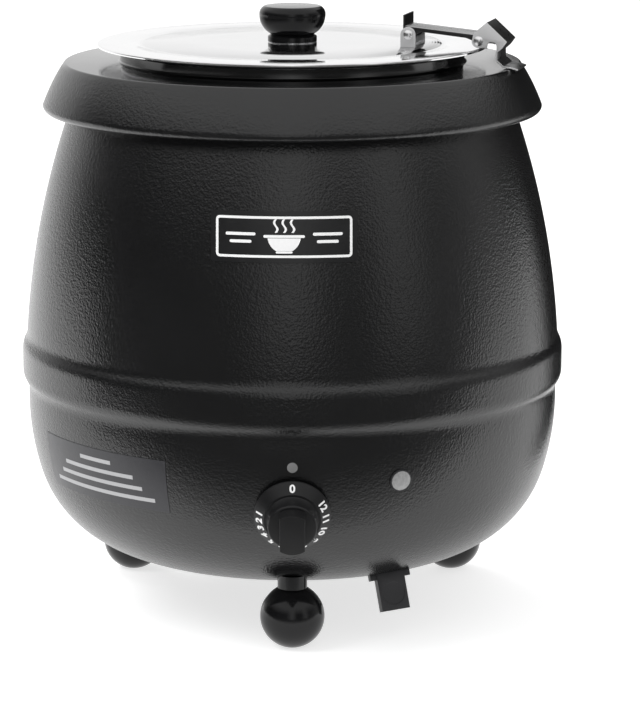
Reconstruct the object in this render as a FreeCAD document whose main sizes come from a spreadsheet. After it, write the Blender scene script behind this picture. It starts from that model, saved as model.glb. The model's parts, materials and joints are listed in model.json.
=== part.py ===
import FreeCAD, Part
import math
import os
import re

import Sketcher
from FreeCAD import Placement, Rotation, Vector

# Counter-top soup kettle: a barrel-shaped heated casing on three ball feet, with a lift-out
# pot standing in a wet well and a lid on a swinging arm. +Z is up, the kettle's own axis is Z,
# the standing plane is z = 0 and the control knob faces -Y. All sizes are in millimetres.

# Driving dimensions: name, size, what it is. Each becomes one named cell of the sheet.
SIZES = [
    ("BodyRadius", 158.7, "barrel radius at its widest, under the bead"),
    ("WidestHeight", 133.9, "height at which the barrel is widest"),
    ("UpperArc", 487, "radius of the barrel's side above the bead"),
    ("CasingBottom", 33.2, "height of the casing's flat bottom"),
    ("CasingTop", 318, "height of the casing's top flange"),
    ("CasingWall", 1.2, "sheet thickness of the casing"),
    ("LowerInset", 1.5, "how far the lower body lies inside the barrel radius"),
    ("LowerArc", 150, "radius of the side below the bead"),
    ("CornerArc", 68.7, "radius of the rounded bottom corner"),
    ("CornerAngle", 17.1, "slope in degrees where side and bottom corner meet"),
    ("BeadHeight", 148, "height of the bead's middle"),
    ("BeadCrown", 12, "width of the bead's flat crown"),
    ("BeadRise", 1.9, "how far the bead's crown stands outside the barrel radius"),
    ("BeadRamp", 11.5, "height of each ramp of the bead"),
    ("FlangeWidth", 11, "width of the casing's inward flanges"),
    ("CollarOverhang", 15.383, "how far the collar's foot stands out past the casing's side"),
    ("CollarFlare", 12.8, "how far the collar's foot flares out past its top edge"),
    ("CollarDrop", 28.7, "height of the collar from its top face to its foot"),
    ("CollarWall", 2.5, "wall of the collar"),
    ("CollarFootRound", 3.6, "rounding of the collar's foot"),
    ("CollarEdgeRound", 1.6, "rounding of the collar's top edge"),
    ("NeckGap", 1.5, "clearance between the pot and the bore of the collar's neck"),
    ("NeckRise", 6.1, "height of the neck above the collar's top face"),
    ("GasketThickness", 2.3, "thickness of the well's sealing ring"),
    ("WellRadius", 107, "outer radius of the water well"),
    ("WellWall", 0.8, "sheet thickness of the water well"),
    ("WellBottom", 64, "height of the water well's bottom"),
    ("WellCorner", 24, "outer radius of the water well's bottom corner"),
    ("PotGap", 10, "gap between the lift-out pot and the side of the well"),
    ("PotWall", 0.8, "sheet thickness of the pot"),
    ("PotBottom", 80, "height of the pot's bottom"),
    ("PotCorner", 20, "outer radius of the pot's bottom corner"),
    ("PotRimLap", 4.3, "how far the pot's rolled rim stands out past its side"),
    ("PotRimHeight", 3.4, "height of the pot's rolled rim"),
    ("RestGap", 0.3, "gap between pieces that rest on each other"),
    ("LidOverhang", 13.2, "how far the lid's edge reaches past the pot's rim"),
    ("LidSheet", 0.8, "sheet thickness of the lid"),
    ("LidHem", 0.8, "depth of the lid's hem below its underside"),
    ("LidRingInset", 8, "how far the lid's pressed ring lies inside the pot's side"),
    ("LidRingDrop", 1.2, "depth of the lid's pressed ring"),
    ("LidRingWidth", 8, "width of that centring ring"),
    ("HandleHeight", 21.1, "height of the lid's handle"),
    ("HandleRadius", 19.5, "largest radius of the lid's handle"),
    ("HandleFootRadius", 14.4, "radius of the handle's foot"),
    ("HandleTopRadius", 16, "radius of the handle's flat top"),
    ("HandleScrewRadius", 2.5, "radius of the handle's screw"),
    ("BallRadius", 18.5, "radius of a foot's ball"),
    ("FootFlatRadius", 4, "radius of the flat under a ball"),
    ("FootNeckRadius", 8.5, "radius of the spacer above a ball"),
    ("FootOutset", 28.894, "how far the feet stand outside the base's flat, to their axes"),
    ("StudRadius", 3, "radius of a foot's stud"),
    ("DialHeight", 88, "height of the dial's axis where it meets the casing"),
    ("DialRadius", 21.5, "radius of the dial's skirt"),
    ("DialBossRadius", 14.6, "radius of the dial's boss"),
    ("DialDepth", 25.5, "height of the dial's grip above the casing"),
    ("GripLength", 24.4, "length of the dial's grip bar"),
    ("DialGap", 1.2, "gap between the dial and the casing"),
    ("GripWidth", 14, "width of the dial's grip bar"),
    ("SpindleRadius", 3, "radius of the thermostat's spindle"),
    ("SpindleGap", 0.05, "running clearance round the spindle"),
    ("DotHeight", 115.3, "height of the pointer dot"),
    ("DotRadius", 2.95, "radius of the pointer dot"),
    ("LampAzimuth", 22.8, "degrees from the dial round to the lamp"),
    ("LampHeight", 105, "height of the indicator lamp"),
    ("LampRadius", 6.4, "outer radius of the lamp's bezel"),
    ("LampStem", 4.6, "radius of the lamp's stem through the casing"),
    ("PlateWidth", 80.5, "width of the nameplate"),
    ("PlateHeight", 27.6, "height of the nameplate"),
    ("PlateDrop", 75, "how far the nameplate's middle lies below the casing's top"),
    ("PlateShift", 4.5, "how far the nameplate's middle lies to the left of the dial"),
    ("PlateThickness", 0.7, "thickness of the nameplate"),
    ("LabelWidth", 103, "width of the label"),
    ("LabelHeight", 31, "height of the label"),
    ("LabelMiddle", 99.5, "height of the label's middle"),
    ("LabelAzimuth", 46, "degrees from the dial round to the label, the other way"),
    ("LabelThickness", 0.25, "thickness of the label"),
    ("GlandAzimuth", 31.2, "degrees from the dial round to the cable gland"),
    ("GlandDip", 71, "how far the gland's axis dips below level, in degrees"),
    ("GlandTurn", 24.5, "how far the gland's block is turned about its axis, towards the dial"),
    ("GlandDepth", 21.5, "how far the gland stands out of the casing"),
    ("GlandMark", 6.4, "radius of the round moulding mark on the gland's face"),
    ("GlandWidth", 16, "width of the gland's block"),
    ("CableRadius", 3.75, "radius of the gland's cable hole"),
    ("HingeAzimuth", -15, "degrees from +X round to the lid's hinge"),
    ("ArmWidth", 23, "width of the hinge arm"),
    ("ArmSheet", 1, "sheet thickness of the hinge arm"),
    ("ArmLug", 3.2, "radius of the arm's lugs round its pins"),
    ("ArmDepth", 3.2, "depth of the arm's side flanges"),
    ("StopHeight", 6.4, "height of the arm's stop tab above its top"),
    ("EarRadius", 4.5, "radius of the bracket's ears round their pin"),
    ("ClipBoss", 3.9, "radius of the clip's plates round their pin"),
    ("FootReach", 3.5, "how far the clip's foot reaches past the collar's edge"),
    ("HingeGap", 0.3, "side gap between the arm and what it swings in"),
    ("HingeSheet", 1, "sheet thickness of the clip and bracket"),
    ("PinRadius", 1.6, "radius of a hinge pin"),
    ("PinGap", 0.06, "running clearance round a hinge pin"),
    ("LidPinInset", 16.5, "how far the lid's pin lies inside the lid's pressed ring"),
    ("LidPinRise", 7.2, "height of the lid's pin above the lid"),
    ("ClipPinInset", 0.5, "how far the clip's pin lies inside the lid's edge"),
    ("ClipPinRise", 4.7, "height of the clip's pin above the lid"),
    ("ElementRadius", 4, "radius of the heating element's sheath"),
    ("ElementRing", 60, "radius of the heating element's ring"),
    ("SpreaderThickness", 6, "thickness of the heat spreader"),
]

# Sizes that follow from the driving ones, each written once.
DERIVED = {
    "Waist": "BodyRadius - UpperArc",
    "LowerRadius": "BodyRadius - LowerInset",
    "CornerHeight": "CasingBottom + CornerArc",
    "LowerWidest": "CornerHeight + (LowerArc - CornerArc) * sin(CornerAngle * 1deg)",
    "LowerCentre": "LowerRadius - LowerArc",
    "CornerCentre": "LowerCentre + (LowerArc - CornerArc) * cos(CornerAngle * 1deg)",
    "FootCircle": "CornerCentre + FootOutset",
    "BeadRadius": "BodyRadius + BeadRise",
    "CollarTop": "CasingTop + WellWall + GasketThickness + CollarWall",
    "CollarUnder": "CollarTop - CollarWall",
    "CollarFoot": "CollarTop - CollarDrop",
    "NeckTop": "CollarTop + NeckRise",
    "CollarFootRadius": "Waist + sqrt(UpperArc ^ 2 - (CollarFoot - WidestHeight) ^ 2) + CollarOverhang",
    "CollarRadius": "CollarFootRadius - CollarFlare",
    "PotRadius": "WellRadius - PotGap",
    "PotRimRadius": "PotRadius + PotRimLap",
    "NeckBore": "PotRadius + NeckGap",
    "NeckRadius": "NeckBore + CollarWall",
    "LidRadius": "PotRimRadius + LidOverhang",
    "LidRingRadius": "PotRadius - LidRingInset",
    "LidPinReach": "LidRingRadius - LidPinInset",
    "ClipPinReach": "LidRadius - ClipPinInset",
    "PlateMiddle": "CasingTop - PlateDrop",
    "PotRimFoot": "NeckTop + RestGap",
    "PotRimTop": "PotRimFoot + PotRimHeight",
    "LidUnder": "PotRimTop + RestGap",
    "LidTop": "LidUnder + LidSheet",
    "BallHeight": "sqrt(BallRadius ^ 2 - FootFlatRadius ^ 2)",
    "BallNeck": "BallHeight + sqrt(BallRadius ^ 2 - FootNeckRadius ^ 2)",
    "SpreaderRadius": "WellRadius - WellCorner",
    "SpreaderFoot": "WellBottom - SpreaderThickness",
    "ElementHeight": "SpreaderFoot",
    "LidPinHeight": "LidTop + LidPinRise",
    "ClipPinHeight": "LidTop + ClipPinRise",
    "ArmHigh": "LidPinHeight + ArmLug + ArmSheet * 1.8",
    "ArmLow": "ClipPinHeight + ArmLug",
    "HingeInner": "ArmWidth / 2 + HingeGap",
    "HingeOuter": "HingeInner + HingeSheet",
    "FlangeRadius": "WellRadius + FlangeWidth",
    "BaseOpening": "CornerCentre - FlangeWidth",
}
NAMES = {name for name, _, _ in SIZES}

doc = FreeCAD.newDocument("SoupKettle")
sheet = doc.addObject("Spreadsheet::Sheet", "Sizes")
NODES = []


def linked(expression):
    """Write out derived names and put the sheet's name before each cell's."""
    def word(match):
        name = match.group(0)
        if name in DERIVED:
            return "(" + linked(DERIVED[name]) + ")"
        return "Sizes." + name if name in NAMES else name
    return re.sub(r"[A-Za-z_]+", word, str(expression))


def value(expression):
    """The expression's present value as a plain number."""
    found = sheet.evalExpression(linked(expression))
    return float(getattr(found, "Value", found))


def bind(item, **sizes):
    """Bind each property of an object to an expression of the sheet's cells."""
    for name, expression in sizes.items():
        item.setExpression(name, linked(expression))
    return item


def node(item, label):
    """Give a finished piece its name and list it for export."""
    item.Label = label
    NODES.append(item)
    return item


def corner(across, up):
    return Vector(value(across), value(up), 0)


def curve(start, end, radius):
    """The short arc between two corners: it turns left for a plus radius, right for a minus."""
    chord = end - start
    reach = math.sqrt(max(radius * radius - chord.Length ** 2 / 4, 0.0))
    left = Vector(-chord.y, chord.x, 0).normalize()
    centre = (start + end) * 0.5 + left * math.copysign(reach, radius)
    first, last = (start, end) if radius > 0 else (end, start)
    angles = [math.atan2(p.y - centre.y, p.x - centre.x) for p in (first, last)]
    circle = Part.Circle(centre, Vector(0, 0, 1), abs(radius))
    return Part.ArcOfCircle(circle, angles[0], angles[1])


def draw(sketch, steps, closed, closing=None):
    """Draw a chain of lines and arcs whose corners and radii are bound to the sheet.

    A step is (across, up) where a line ends or (across, up, radius) where an arc ends.
    A closed chain comes back to its start along a line, or along an arc of radius closing.
    """
    back = steps[0][:2] + ((closing,) if closing else ())
    ends = steps[1:] + ([back] if closed else [])
    starts = steps[:len(ends)]
    rules, sizes = [], []
    for index, (start, end) in enumerate(zip(starts, ends)):
        here, there = corner(*start[:2]), corner(*end[:2])
        radius = value(end[2]) if len(end) > 2 else 0
        edge = curve(here, there, radius) if radius else Part.LineSegment(here, there)
        sketch.addGeometry(edge)
        tail, head = (2, 1) if radius < 0 else (1, 2)
        if index:
            rules.append(Sketcher.Constraint("Coincident", index - 1, last_head, index, tail))
        else:
            first_tail = tail
        if not closed and index == len(ends) - 1:
            points = [(tail, start), (head, end)]
        else:
            points = [(tail, start)]
        for point, step in points:
            place = corner(*step[:2])
            sizes.append((len(rules), step[0]))
            rules.append(Sketcher.Constraint("DistanceX", -1, 1, index, point, place.x))
            sizes.append((len(rules), step[1]))
            rules.append(Sketcher.Constraint("DistanceY", -1, 1, index, point, place.y))
        if radius:
            sizes.append((len(rules), f"abs({end[2]})"))
            rules.append(Sketcher.Constraint("Radius", index, abs(radius)))
        last_head = head
    if closed:
        last = len(ends) - 1
        rules.append(Sketcher.Constraint("Coincident", last, last_head, 0, first_tail))
    sketch.addConstraint(rules)
    for index, expression in sizes:
        if not str(expression).replace(".", "").isdigit():
            sketch.setExpression(f"Constraints[{index}]", linked(expression))
    return sketch


def upright(name, steps, closed=True, closing=None):
    """A loose sketch in the X-Z plane."""
    sketch = doc.addObject("Sketcher::SketchObject", name + "_outline")
    sketch.Placement = Placement(Vector(), Rotation(Vector(1, 0, 0), 90))
    return draw(sketch, steps, closed, closing)


def body_sketch(body, plane, steps, name):
    """A sketch on one of a body's own origin planes."""
    sketch = body.newObject("Sketcher::SketchObject", name)
    origin = [item for item in body.Origin.OriginFeatures if item.Role == plane][0]
    sketch.AttachmentSupport = [(origin, "")]
    sketch.MapMode = "FlatFace"
    return draw(sketch, steps, True)


def turned(name, steps):
    """A solid turned about Z from a closed outline."""
    body = doc.addObject("PartDesign::Body", name)
    sketch = body_sketch(body, "XZ_Plane", steps, name + "_outline")
    turn = body.newObject("PartDesign::Revolution", name + "_turn")
    turn.Profile = sketch
    turn.ReferenceAxis = (sketch, ["V_Axis"])
    turn.Angle = 360
    return body


def spun(name, steps, wall):
    """A thin shell spun about Z: an open outline, thickened by its wall and turned."""
    skin = doc.addObject("Part::Offset2D", name + "_skin")
    skin.Source = upright(name, steps, closed=False)
    skin.Mode = "Skin"
    skin.Join = 2
    skin.Fill = True
    bind(skin, Value=wall)
    return revolve(name, skin)


def revolve(name, source):
    turn = doc.addObject("Part::Revolution", name + "_turn")
    turn.Source = source
    turn.Axis = Vector(0, 0, 1)
    turn.Angle = 360
    turn.Solid = True
    return turn


def pad(name, steps, width):
    """A flat outline in the X-Z plane, padded to both sides."""
    body = doc.addObject("PartDesign::Body", name)
    feature = body.newObject("PartDesign::Pad", name + "_pad")
    feature.Profile = body_sketch(body, "XZ_Plane", steps, name + "_outline")
    feature.SideType = "Symmetric"
    bind(feature, Length=width)
    return body


def cylinder(name, radius, height, at=(0, 0, 0)):
    item = doc.addObject("Part::Cylinder", name)
    bind(item, Radius=radius, Height=height)
    return put(item, at)


def box(name, length, width, height, at=(0, 0, 0), centred=True):
    item = doc.addObject("Part::Box", name)
    bind(item, Length=length, Width=width, Height=height)
    if centred:
        at = (f"({at[0]}) - ({length}) / 2", f"({at[1]}) - ({width}) / 2", at[2])
    return put(item, at)


def put(item, at):
    """Bind an object's place to the sheet."""
    for axis, expression in zip("xyz", at):
        item.setExpression(f"Placement.Base.{axis}", linked(expression))
    return item


def moved(item, frame):
    """Carry an object from the origin to a frame."""
    doc.recompute()
    place = frame.multiply(item.Placement)
    for axis in "xyz":
        item.setExpression(f"Placement.Base.{axis}", None)
    item.Placement = place
    return item


def cut(name, base, *tools):
    item = doc.addObject("Part::Cut", name)
    item.Base = base
    item.Tool = tools[0] if len(tools) == 1 else group(name + "_tools", tools)
    return item


def fuse(name, *pieces):
    item = doc.addObject("Part::MultiFuse", name)
    item.Shapes = list(pieces)
    item.Refine = True
    return item


def common(name, base, tool):
    item = doc.addObject("Part::Common", name)
    item.Base = base
    item.Tool = tool
    return item


def group(name, pieces):
    """Several separate solids that share one name."""
    item = doc.addObject("Part::Compound", name)
    item.Links = list(pieces)
    return item


def casing_frame(azimuth, height):
    """A frame on the lower body: Z leaves the casing, X runs level to the right."""
    dip = math.asin((value("LowerWidest") - value(height)) / value("LowerArc"))
    return surface_frame(azimuth, dip, value("LowerCentre"), value("LowerWidest"), value("LowerArc"))


def corner_frame(azimuth, dip):
    """A frame on the bottom corner, whose Z dips below level by the angle given."""
    angle = math.radians(value(dip))
    return surface_frame(azimuth, angle, value("CornerCentre"), value("CornerHeight"), value("CornerArc"))


def surface_frame(azimuth, dip, centre, height, arc):
    side = math.radians(value(azimuth))
    out = Vector(math.sin(side), -math.cos(side), 0)
    normal = out * math.cos(dip) - Vector(0, 0, math.sin(dip))
    right = Vector(math.cos(side), math.sin(side), 0)
    up = normal.cross(right)
    base = out * (centre + arc * math.cos(dip)) + Vector(0, 0, height - arc * math.sin(dip))
    return Placement(base, Rotation(right, up, normal, "ZXY"))


def hinge_frame():
    """A frame on the kettle's axis whose X runs out through the lid's hinge."""
    return Placement(Vector(), Rotation(Vector(0, 0, 1), value("HingeAzimuth")))


def feet_frames():
    """One upright frame at each foot; the first foot is at the front."""
    for angle in (-90, 30, 150):
        place = Rotation(Vector(0, 0, 1), angle).multVec(Vector(value("FootCircle"), 0, 0))
        yield Placement(place, Rotation(Vector(0, 0, 1), angle))


def ring_of(name, radius, height, circle, foot, count, turn=0):
    """Equal upright cylinders spaced round the kettle's axis."""
    pieces = []
    for index in range(count):
        item = cylinder(f"{name}_{index}", radius, height, (circle, 0, foot))
        angle = turn + 360 * index / count
        pieces.append(moved(item, Placement(Vector(), Rotation(Vector(0, 0, 1), angle))))
    return pieces


# ---- Casing -------------------------------------------------------------------------------

def side_radius(height):
    """Radius of the barrel's side above the bead."""
    return f"Waist + sqrt(UpperArc ^ 2 - ({height} - WidestHeight) ^ 2)"


def low_radius(height):
    """Radius of the side below the bead."""
    return f"LowerCentre + sqrt(LowerArc ^ 2 - ({height} - LowerWidest) ^ 2)"


def bead_ramp(foot, foot_height, crown_height):
    """Two equal arcs that carry the side out to the bead's crown, or back."""
    rise = f"(BeadRadius - ({foot}))"
    bend = f"(BeadRamp ^ 2 + {rise} ^ 2) / (4 * {rise})"
    return f"({foot} + BeadRadius) / 2", f"(({foot_height}) + ({crown_height})) / 2", bend


def body_side():
    """The casing's outer outline from the bottom flat to the top edge."""
    low_foot = "BeadHeight - BeadCrown / 2 - BeadRamp"
    low_crown = "BeadHeight - BeadCrown / 2"
    high_crown = "BeadHeight + BeadCrown / 2"
    high_foot = "BeadHeight + BeadCrown / 2 + BeadRamp"
    low, high = low_radius(f"({low_foot})"), side_radius(f"({high_foot})")
    low_mid = bead_ramp(low, low_foot, low_crown)
    high_mid = bead_ramp(high, high_foot, high_crown)
    join = ("CornerCentre + CornerArc * cos(CornerAngle * 1deg)",
            "CornerHeight - CornerArc * sin(CornerAngle * 1deg)", "CornerArc")
    return [
        ("CornerCentre", "CasingBottom"),
        join,
        (low, low_foot, "LowerArc"),
        (low_mid[0], low_mid[1], f"-({low_mid[2]})"),
        ("BeadRadius", low_crown, low_mid[2]),
        ("BeadRadius", high_crown),
        (high_mid[0], high_mid[1], high_mid[2]),
        (high, high_foot, f"-({high_mid[2]})"),
        (side_radius("CasingTop"), "CasingTop", "UpperArc"),
    ]


def body_former():
    """The casing's outer shape as a full solid, used to fit what sits against it."""
    outline = [(0, "CasingBottom")] + body_side() + [(0, "CasingTop")]
    return revolve("former", upright("former", outline))


def outer_casing(openings):
    outline = [("BaseOpening", "CasingBottom")] + body_side() + [("WellRadius", "CasingTop")]
    shell = spun("casing", outline, "CasingWall")
    return node(cut("casing_cut", shell, *openings), "outer_casing")


def top_collar():
    """Flared cover ring with the neck that carries the pot."""
    lean = "atan((CollarFootRadius - CollarRadius) / (CollarDrop - CollarFootRound))"
    edge = f"CollarEdgeRound * tan(45deg - ({lean}) / 2)"
    lip = f"{side_radius('(CollarFoot)')} + RestGap"
    outline = [
        ("NeckRadius", "NeckTop"),
        ("NeckRadius", "CollarTop + CollarEdgeRound"),
        ("NeckRadius + CollarEdgeRound", "CollarTop", "CollarEdgeRound"),
        (f"CollarRadius - {edge}", "CollarTop"),
        (f"CollarRadius + ({edge}) * sin({lean})", f"CollarTop - ({edge}) * cos({lean})",
         "-CollarEdgeRound"),
        ("CollarFootRadius", "CollarFoot + CollarFootRound", "-CollarDrop * 4"),
        ("CollarFootRadius - CollarFootRound", "CollarFoot", "-CollarFootRound"),
        (lip, "CollarFoot"),
    ]
    shell = spun("collar", outline, "-CollarWall")
    holes = ring_of("collar_hole", "2", "CollarWall * 0.7", "FlangeRadius - 4.5", "CollarUnder", 4, 45)
    return node(cut("collar_cut", shell, *holes), "top_collar")


def base_plate():
    disc = cylinder("base_disc", "CornerCentre - 1", "CasingWall", (0, 0, "CasingBottom - CasingWall"))
    vents = ring_of("vent", "3", "CasingWall * 3", "BaseOpening - 18", "CasingBottom - CasingWall * 2", 12)
    holes = ring_of("base_hole", "1.75", "CasingWall * 3", "BaseOpening + 5",
                    "CasingBottom - CasingWall * 2", 4, 45)
    return node(cut("base_cut", disc, *vents, *holes), "base_plate")


def screws(name, label, radius, head, length, circle, seat, count, turn=45):
    """Round-headed screws standing in a circle, heads below their seat."""
    pieces = []
    for index in range(count):
        shank = cylinder(f"{name}_shank_{index}", radius, length, (circle, 0, seat))
        cap = cylinder(f"{name}_head_{index}", head, f"{head} * 0.6", (circle, 0, f"{seat} - {head} * 0.6"))
        screw = fuse(f"{name}_{index}", shank, cap)
        angle = turn + 360 * index / count
        pieces.append(moved(screw, Placement(Vector(), Rotation(Vector(0, 0, 1), angle))))
    return node(group(name + "_set", pieces), label)


def feet(former):
    """Three turned balls on spacers, each held by a stud and a nut."""
    studs, nuts = [], []
    for side, frame in zip(("front", "right", "left"), feet_frames()):
        ball = turned("ball_" + side, [
            ("StudRadius", "BallHeight"),
            ("StudRadius", "BallNeck"),
            ("FootNeckRadius", "BallNeck"),
            ("FootFlatRadius", 0, "-BallRadius"),
            (0, 0),
            (0, "BallHeight"),
        ])
        node(moved(ball, frame), "foot_ball_" + side)
        post = cylinder("post_" + side, "FootNeckRadius", "CasingBottom", (0, 0, "BallNeck"))
        bore = cylinder("post_bore_" + side, "StudRadius", "CasingBottom * 2", (0, 0, "BallNeck"))
        spacer = cut("spacer_" + side, moved(post, frame), former, moved(bore, frame))
        node(spacer, "foot_spacer_" + side)
        stud = cylinder("stud_" + side, "StudRadius", "CasingBottom", (0, 0, "BallHeight"))
        studs.append(moved(stud, frame))
        nut = doc.addObject("Part::Prism", "nut_" + side)
        nut.Polygon = 6
        bind(nut, Circumradius="StudRadius * 1.9", Height="StudRadius * 1.5")
        put(nut, (0, 0, "CasingBottom + StudRadius * 3.9"))
        hole = cylinder("nut_hole_" + side, "StudRadius", "CasingBottom * 3")
        nuts.append(cut("nut_cut_" + side, moved(nut, frame), moved(hole, frame)))
    node(group("studs", studs), "foot_studs")
    node(group("nuts", nuts), "foot_nuts")


# ---- Wet well and heater --------------------------------------------------------------------

def water_well():
    outline = [
        (0, "WellBottom"),
        ("WellRadius - WellCorner", "WellBottom"),
        ("WellRadius", "WellBottom + WellCorner", "WellCorner"),
        ("WellRadius", "CasingTop"),
        ("FlangeRadius", "CasingTop"),
    ]
    well = spun("well", outline, "WellWall")
    holes = ring_of("well_hole", "2", "WellWall * 3", "FlangeRadius - 4.5", "CasingTop - WellWall", 4, 45)
    return node(cut("well_cut", well, *holes), "water_well")


def well_gasket():
    foot, top = "CasingTop + WellWall", "CollarUnder"
    ring = turned("gasket", [
        ("WellRadius", foot), ("FlangeRadius", foot), ("FlangeRadius", top), ("WellRadius", top)])
    holes = ring_of("gasket_hole", "2", "GasketThickness * 2", "FlangeRadius - 4.5", foot, 4, 45)
    return node(cut("gasket_cut", ring, *holes), "well_gasket")


def element_ring(name):
    ring = doc.addObject("Part::Torus", name)
    ring.Angle3 = 330
    bind(ring, Radius1="ElementRing", Radius2="ElementRadius")
    return put(ring, (0, 0, "ElementHeight"))


def heater():
    """Sheathed ring element pressed into an aluminium disc under the well."""
    legs = []
    for index, angle in enumerate((0, -30)):
        leg = cylinder(f"leg_{index}", "ElementRadius", "11", ("ElementRing", 0, "ElementHeight - 11"))
        tab = cylinder(f"tab_{index}", "1.5", "6", ("ElementRing", 0, "ElementHeight - 17"))
        knee = doc.addObject("Part::Sphere", f"knee_{index}")
        bind(knee, Radius="ElementRadius")
        put(knee, ("ElementRing", 0, "ElementHeight"))
        turn = Placement(Vector(), Rotation(Vector(0, 0, 1), angle))
        legs += [moved(leg, turn), moved(tab, turn), moved(knee, turn)]
    element = node(fuse("element", element_ring("ring"), *legs), "heating_element")
    disc = cylinder("disc", "SpreaderRadius", "SpreaderThickness", (0, 0, "SpreaderFoot"))
    bore = cylinder("disc_bore", "3", "SpreaderThickness", (0, 0, "SpreaderFoot"))
    node(cut("spreader", disc, element, bore), "heat_spreader")
    node(cylinder("heater_pin", "3", "20", (0, 0, "WellBottom - 20")), "heater_stud")
    clamp_foot = "SpreaderFoot - ElementRadius - 2"
    bar = box("bar", "(ElementRing + ElementRadius) * 2", "18", "2", (0, 0, clamp_foot))
    bar_bore = cylinder("bar_bore", "3", "2", (0, 0, clamp_foot))
    clamp = cut("clamp", bar, bar_bore)
    node(moved(clamp, Placement(Vector(), Rotation(Vector(0, 0, 1), 60))), "heater_clamp")
    nut = doc.addObject("Part::Prism", "heater_nut_body")
    nut.Polygon = 6
    bind(nut, Circumradius="5.8", Height="4")
    put(nut, (0, 0, clamp_foot + " - 4"))
    node(cut("heater_nut_cut", nut, cylinder("heater_nut_bore", "3", "4", (0, 0, clamp_foot + " - 4"))),
         "heater_nut")
    can = cylinder("can", "8", "9", ("-ElementRing / 2", "ElementRing / 2", "SpreaderFoot - 9"))
    node(can, "thermal_cutout")


# ---- Control side ---------------------------------------------------------------------------

def thermostat(frame):
    """Thermostat behind its fixing plate, with a spindle out through the casing."""
    plate = box("plate", "40", "26", "1.5", (0, 0, "-CasingWall - 3.7"))
    plate_bore = cylinder("plate_bore", "SpindleRadius + 1.5", "8", (0, 0, -8))
    holes = [cylinder(f"plate_hole_{i}", "1.75", "12", (x, 0, -10)) for i, x in enumerate((-15, 15))]
    fixing = cut("plate_cut", plate, plate_bore, *holes)
    node(moved(fixing, frame), "thermostat_plate")
    case = box("case", "34", "34", "23.6", (0, 0, "-CasingWall - 27.3"))
    socket = cylinder("socket", "SpindleRadius + SpindleGap", "14", (0, 0, "-CasingWall - 17.3"))
    wells = [cylinder(f"case_hole_{i}", "1.75", "8", (x, 0, "-CasingWall - 11.3"))
             for i, x in enumerate((-15, 15))]
    node(moved(cut("case_cut", case, socket, *wells), frame), "thermostat_body")
    heads = []
    for index, across in enumerate((-15, 15)):
        shank = cylinder(f"stat_shank_{index}", "1.75", "12", (across, 0, "-CasingWall - 10.9"))
        cap = cylinder(f"stat_head_{index}", "3.2", "1.3", (across, 0, "-0.46"))
        heads.append(moved(fuse(f"stat_screw_{index}", shank, cap), frame))
    node(group("stat_screws", heads), "thermostat_screws")
    spindle = cylinder("spindle", "SpindleRadius", "DialDepth + 11", (0, 0, -17))
    node(moved(spindle, frame), "thermostat_spindle")


def control_knob(frame):
    """Dial: a coned number skirt, a round boss and a grip bar on the spindle."""
    skirt = turned("skirt", [
        (0, "DialGap"),
        ("DialRadius", "DialGap"),
        ("DialRadius", "DialGap + 1.6"),
        ("DialBossRadius + 1.4", "DialDepth * 0.3"),
        ("DialBossRadius", "DialDepth * 0.3"),
        ("DialBossRadius - 0.8", "DialDepth * 0.62"),
        ("DialBossRadius - 2", "DialDepth * 0.66"),
        (0, "DialDepth * 0.66"),
    ])
    bar = box("bar_grip", "GripWidth", "GripLength", "DialDepth * 0.7", (0, 0, "DialDepth * 0.3"))
    round_bar = cylinder("bar_round", "GripLength / 2", "DialDepth * 0.7", (0, 0, "DialDepth * 0.3"))
    grip = common("grip", bar, round_bar)
    bore = cylinder("dial_bore", "SpindleRadius", "DialDepth - 6")
    node(moved(cut("dial_cut", fuse("dial", skirt, grip), bore), frame), "control_knob")


def skin_band(name, foot, top, thickness, centre, level, arc, angle=360):
    """A thin curved band that lies on one arc of the casing's side."""
    def at(height, radius):
        return f"{centre} + sqrt(({radius}) ^ 2 - (({height}) - {level}) ^ 2)"
    outer = f"{arc} + {thickness}"
    outline = [
        (at(foot, arc), foot), (at(foot, outer), foot),
        (at(top, outer), top, outer), (at(top, arc), top),
    ]
    turn = revolve(name, upright(name, outline, closing=f"-({arc})"))
    bind(turn, Angle=angle)
    return turn


def pointer_dot():
    frame = casing_frame(0, "DotHeight")
    band = skin_band("dot_band", "DotHeight - 8", "DotHeight + 8", "0.4",
                     "LowerCentre", "LowerWidest", "LowerArc")
    core = moved(cylinder("dot_core", "DotRadius", "8", (0, 0, -4)), frame)
    node(common("dot", band, core), "pointer_dot")


def lamp(frame):
    """Neon indicator: a body through the casing, its lens and its nut."""
    body = turned("lamp_shell", [
        (0, -22), ("LampStem", -22), ("LampStem", 0), ("LampRadius", 0), ("LampRadius", "1.1"),
        ("LampRadius - 0.7", "1.1"), ("LampRadius - 0.7", "0.4"), (0, "0.4")])
    node(moved(body, frame), "lamp_body")
    lens = turned("lens", [
        (0, "0.4"), ("LampRadius - 0.7", "0.4"), ("LampRadius - 0.7", "1.0"),
        (0, "2.1", "((LampRadius - 0.7) ^ 2 + 1.21) / 2.2")])
    node(moved(lens, frame), "lamp_lens")
    nut = doc.addObject("Part::Prism", "lamp_nut_body")
    nut.Polygon = 6
    bind(nut, Circumradius="LampStem * 1.6", Height="2.4")
    put(nut, (0, 0, "-CasingWall - 2.8"))
    bore = cylinder("lamp_nut_bore", "LampStem", "4", (0, 0, "-CasingWall - 4"))
    node(moved(cut("lamp_nut_cut", nut, bore), frame), "lamp_nut")


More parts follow.
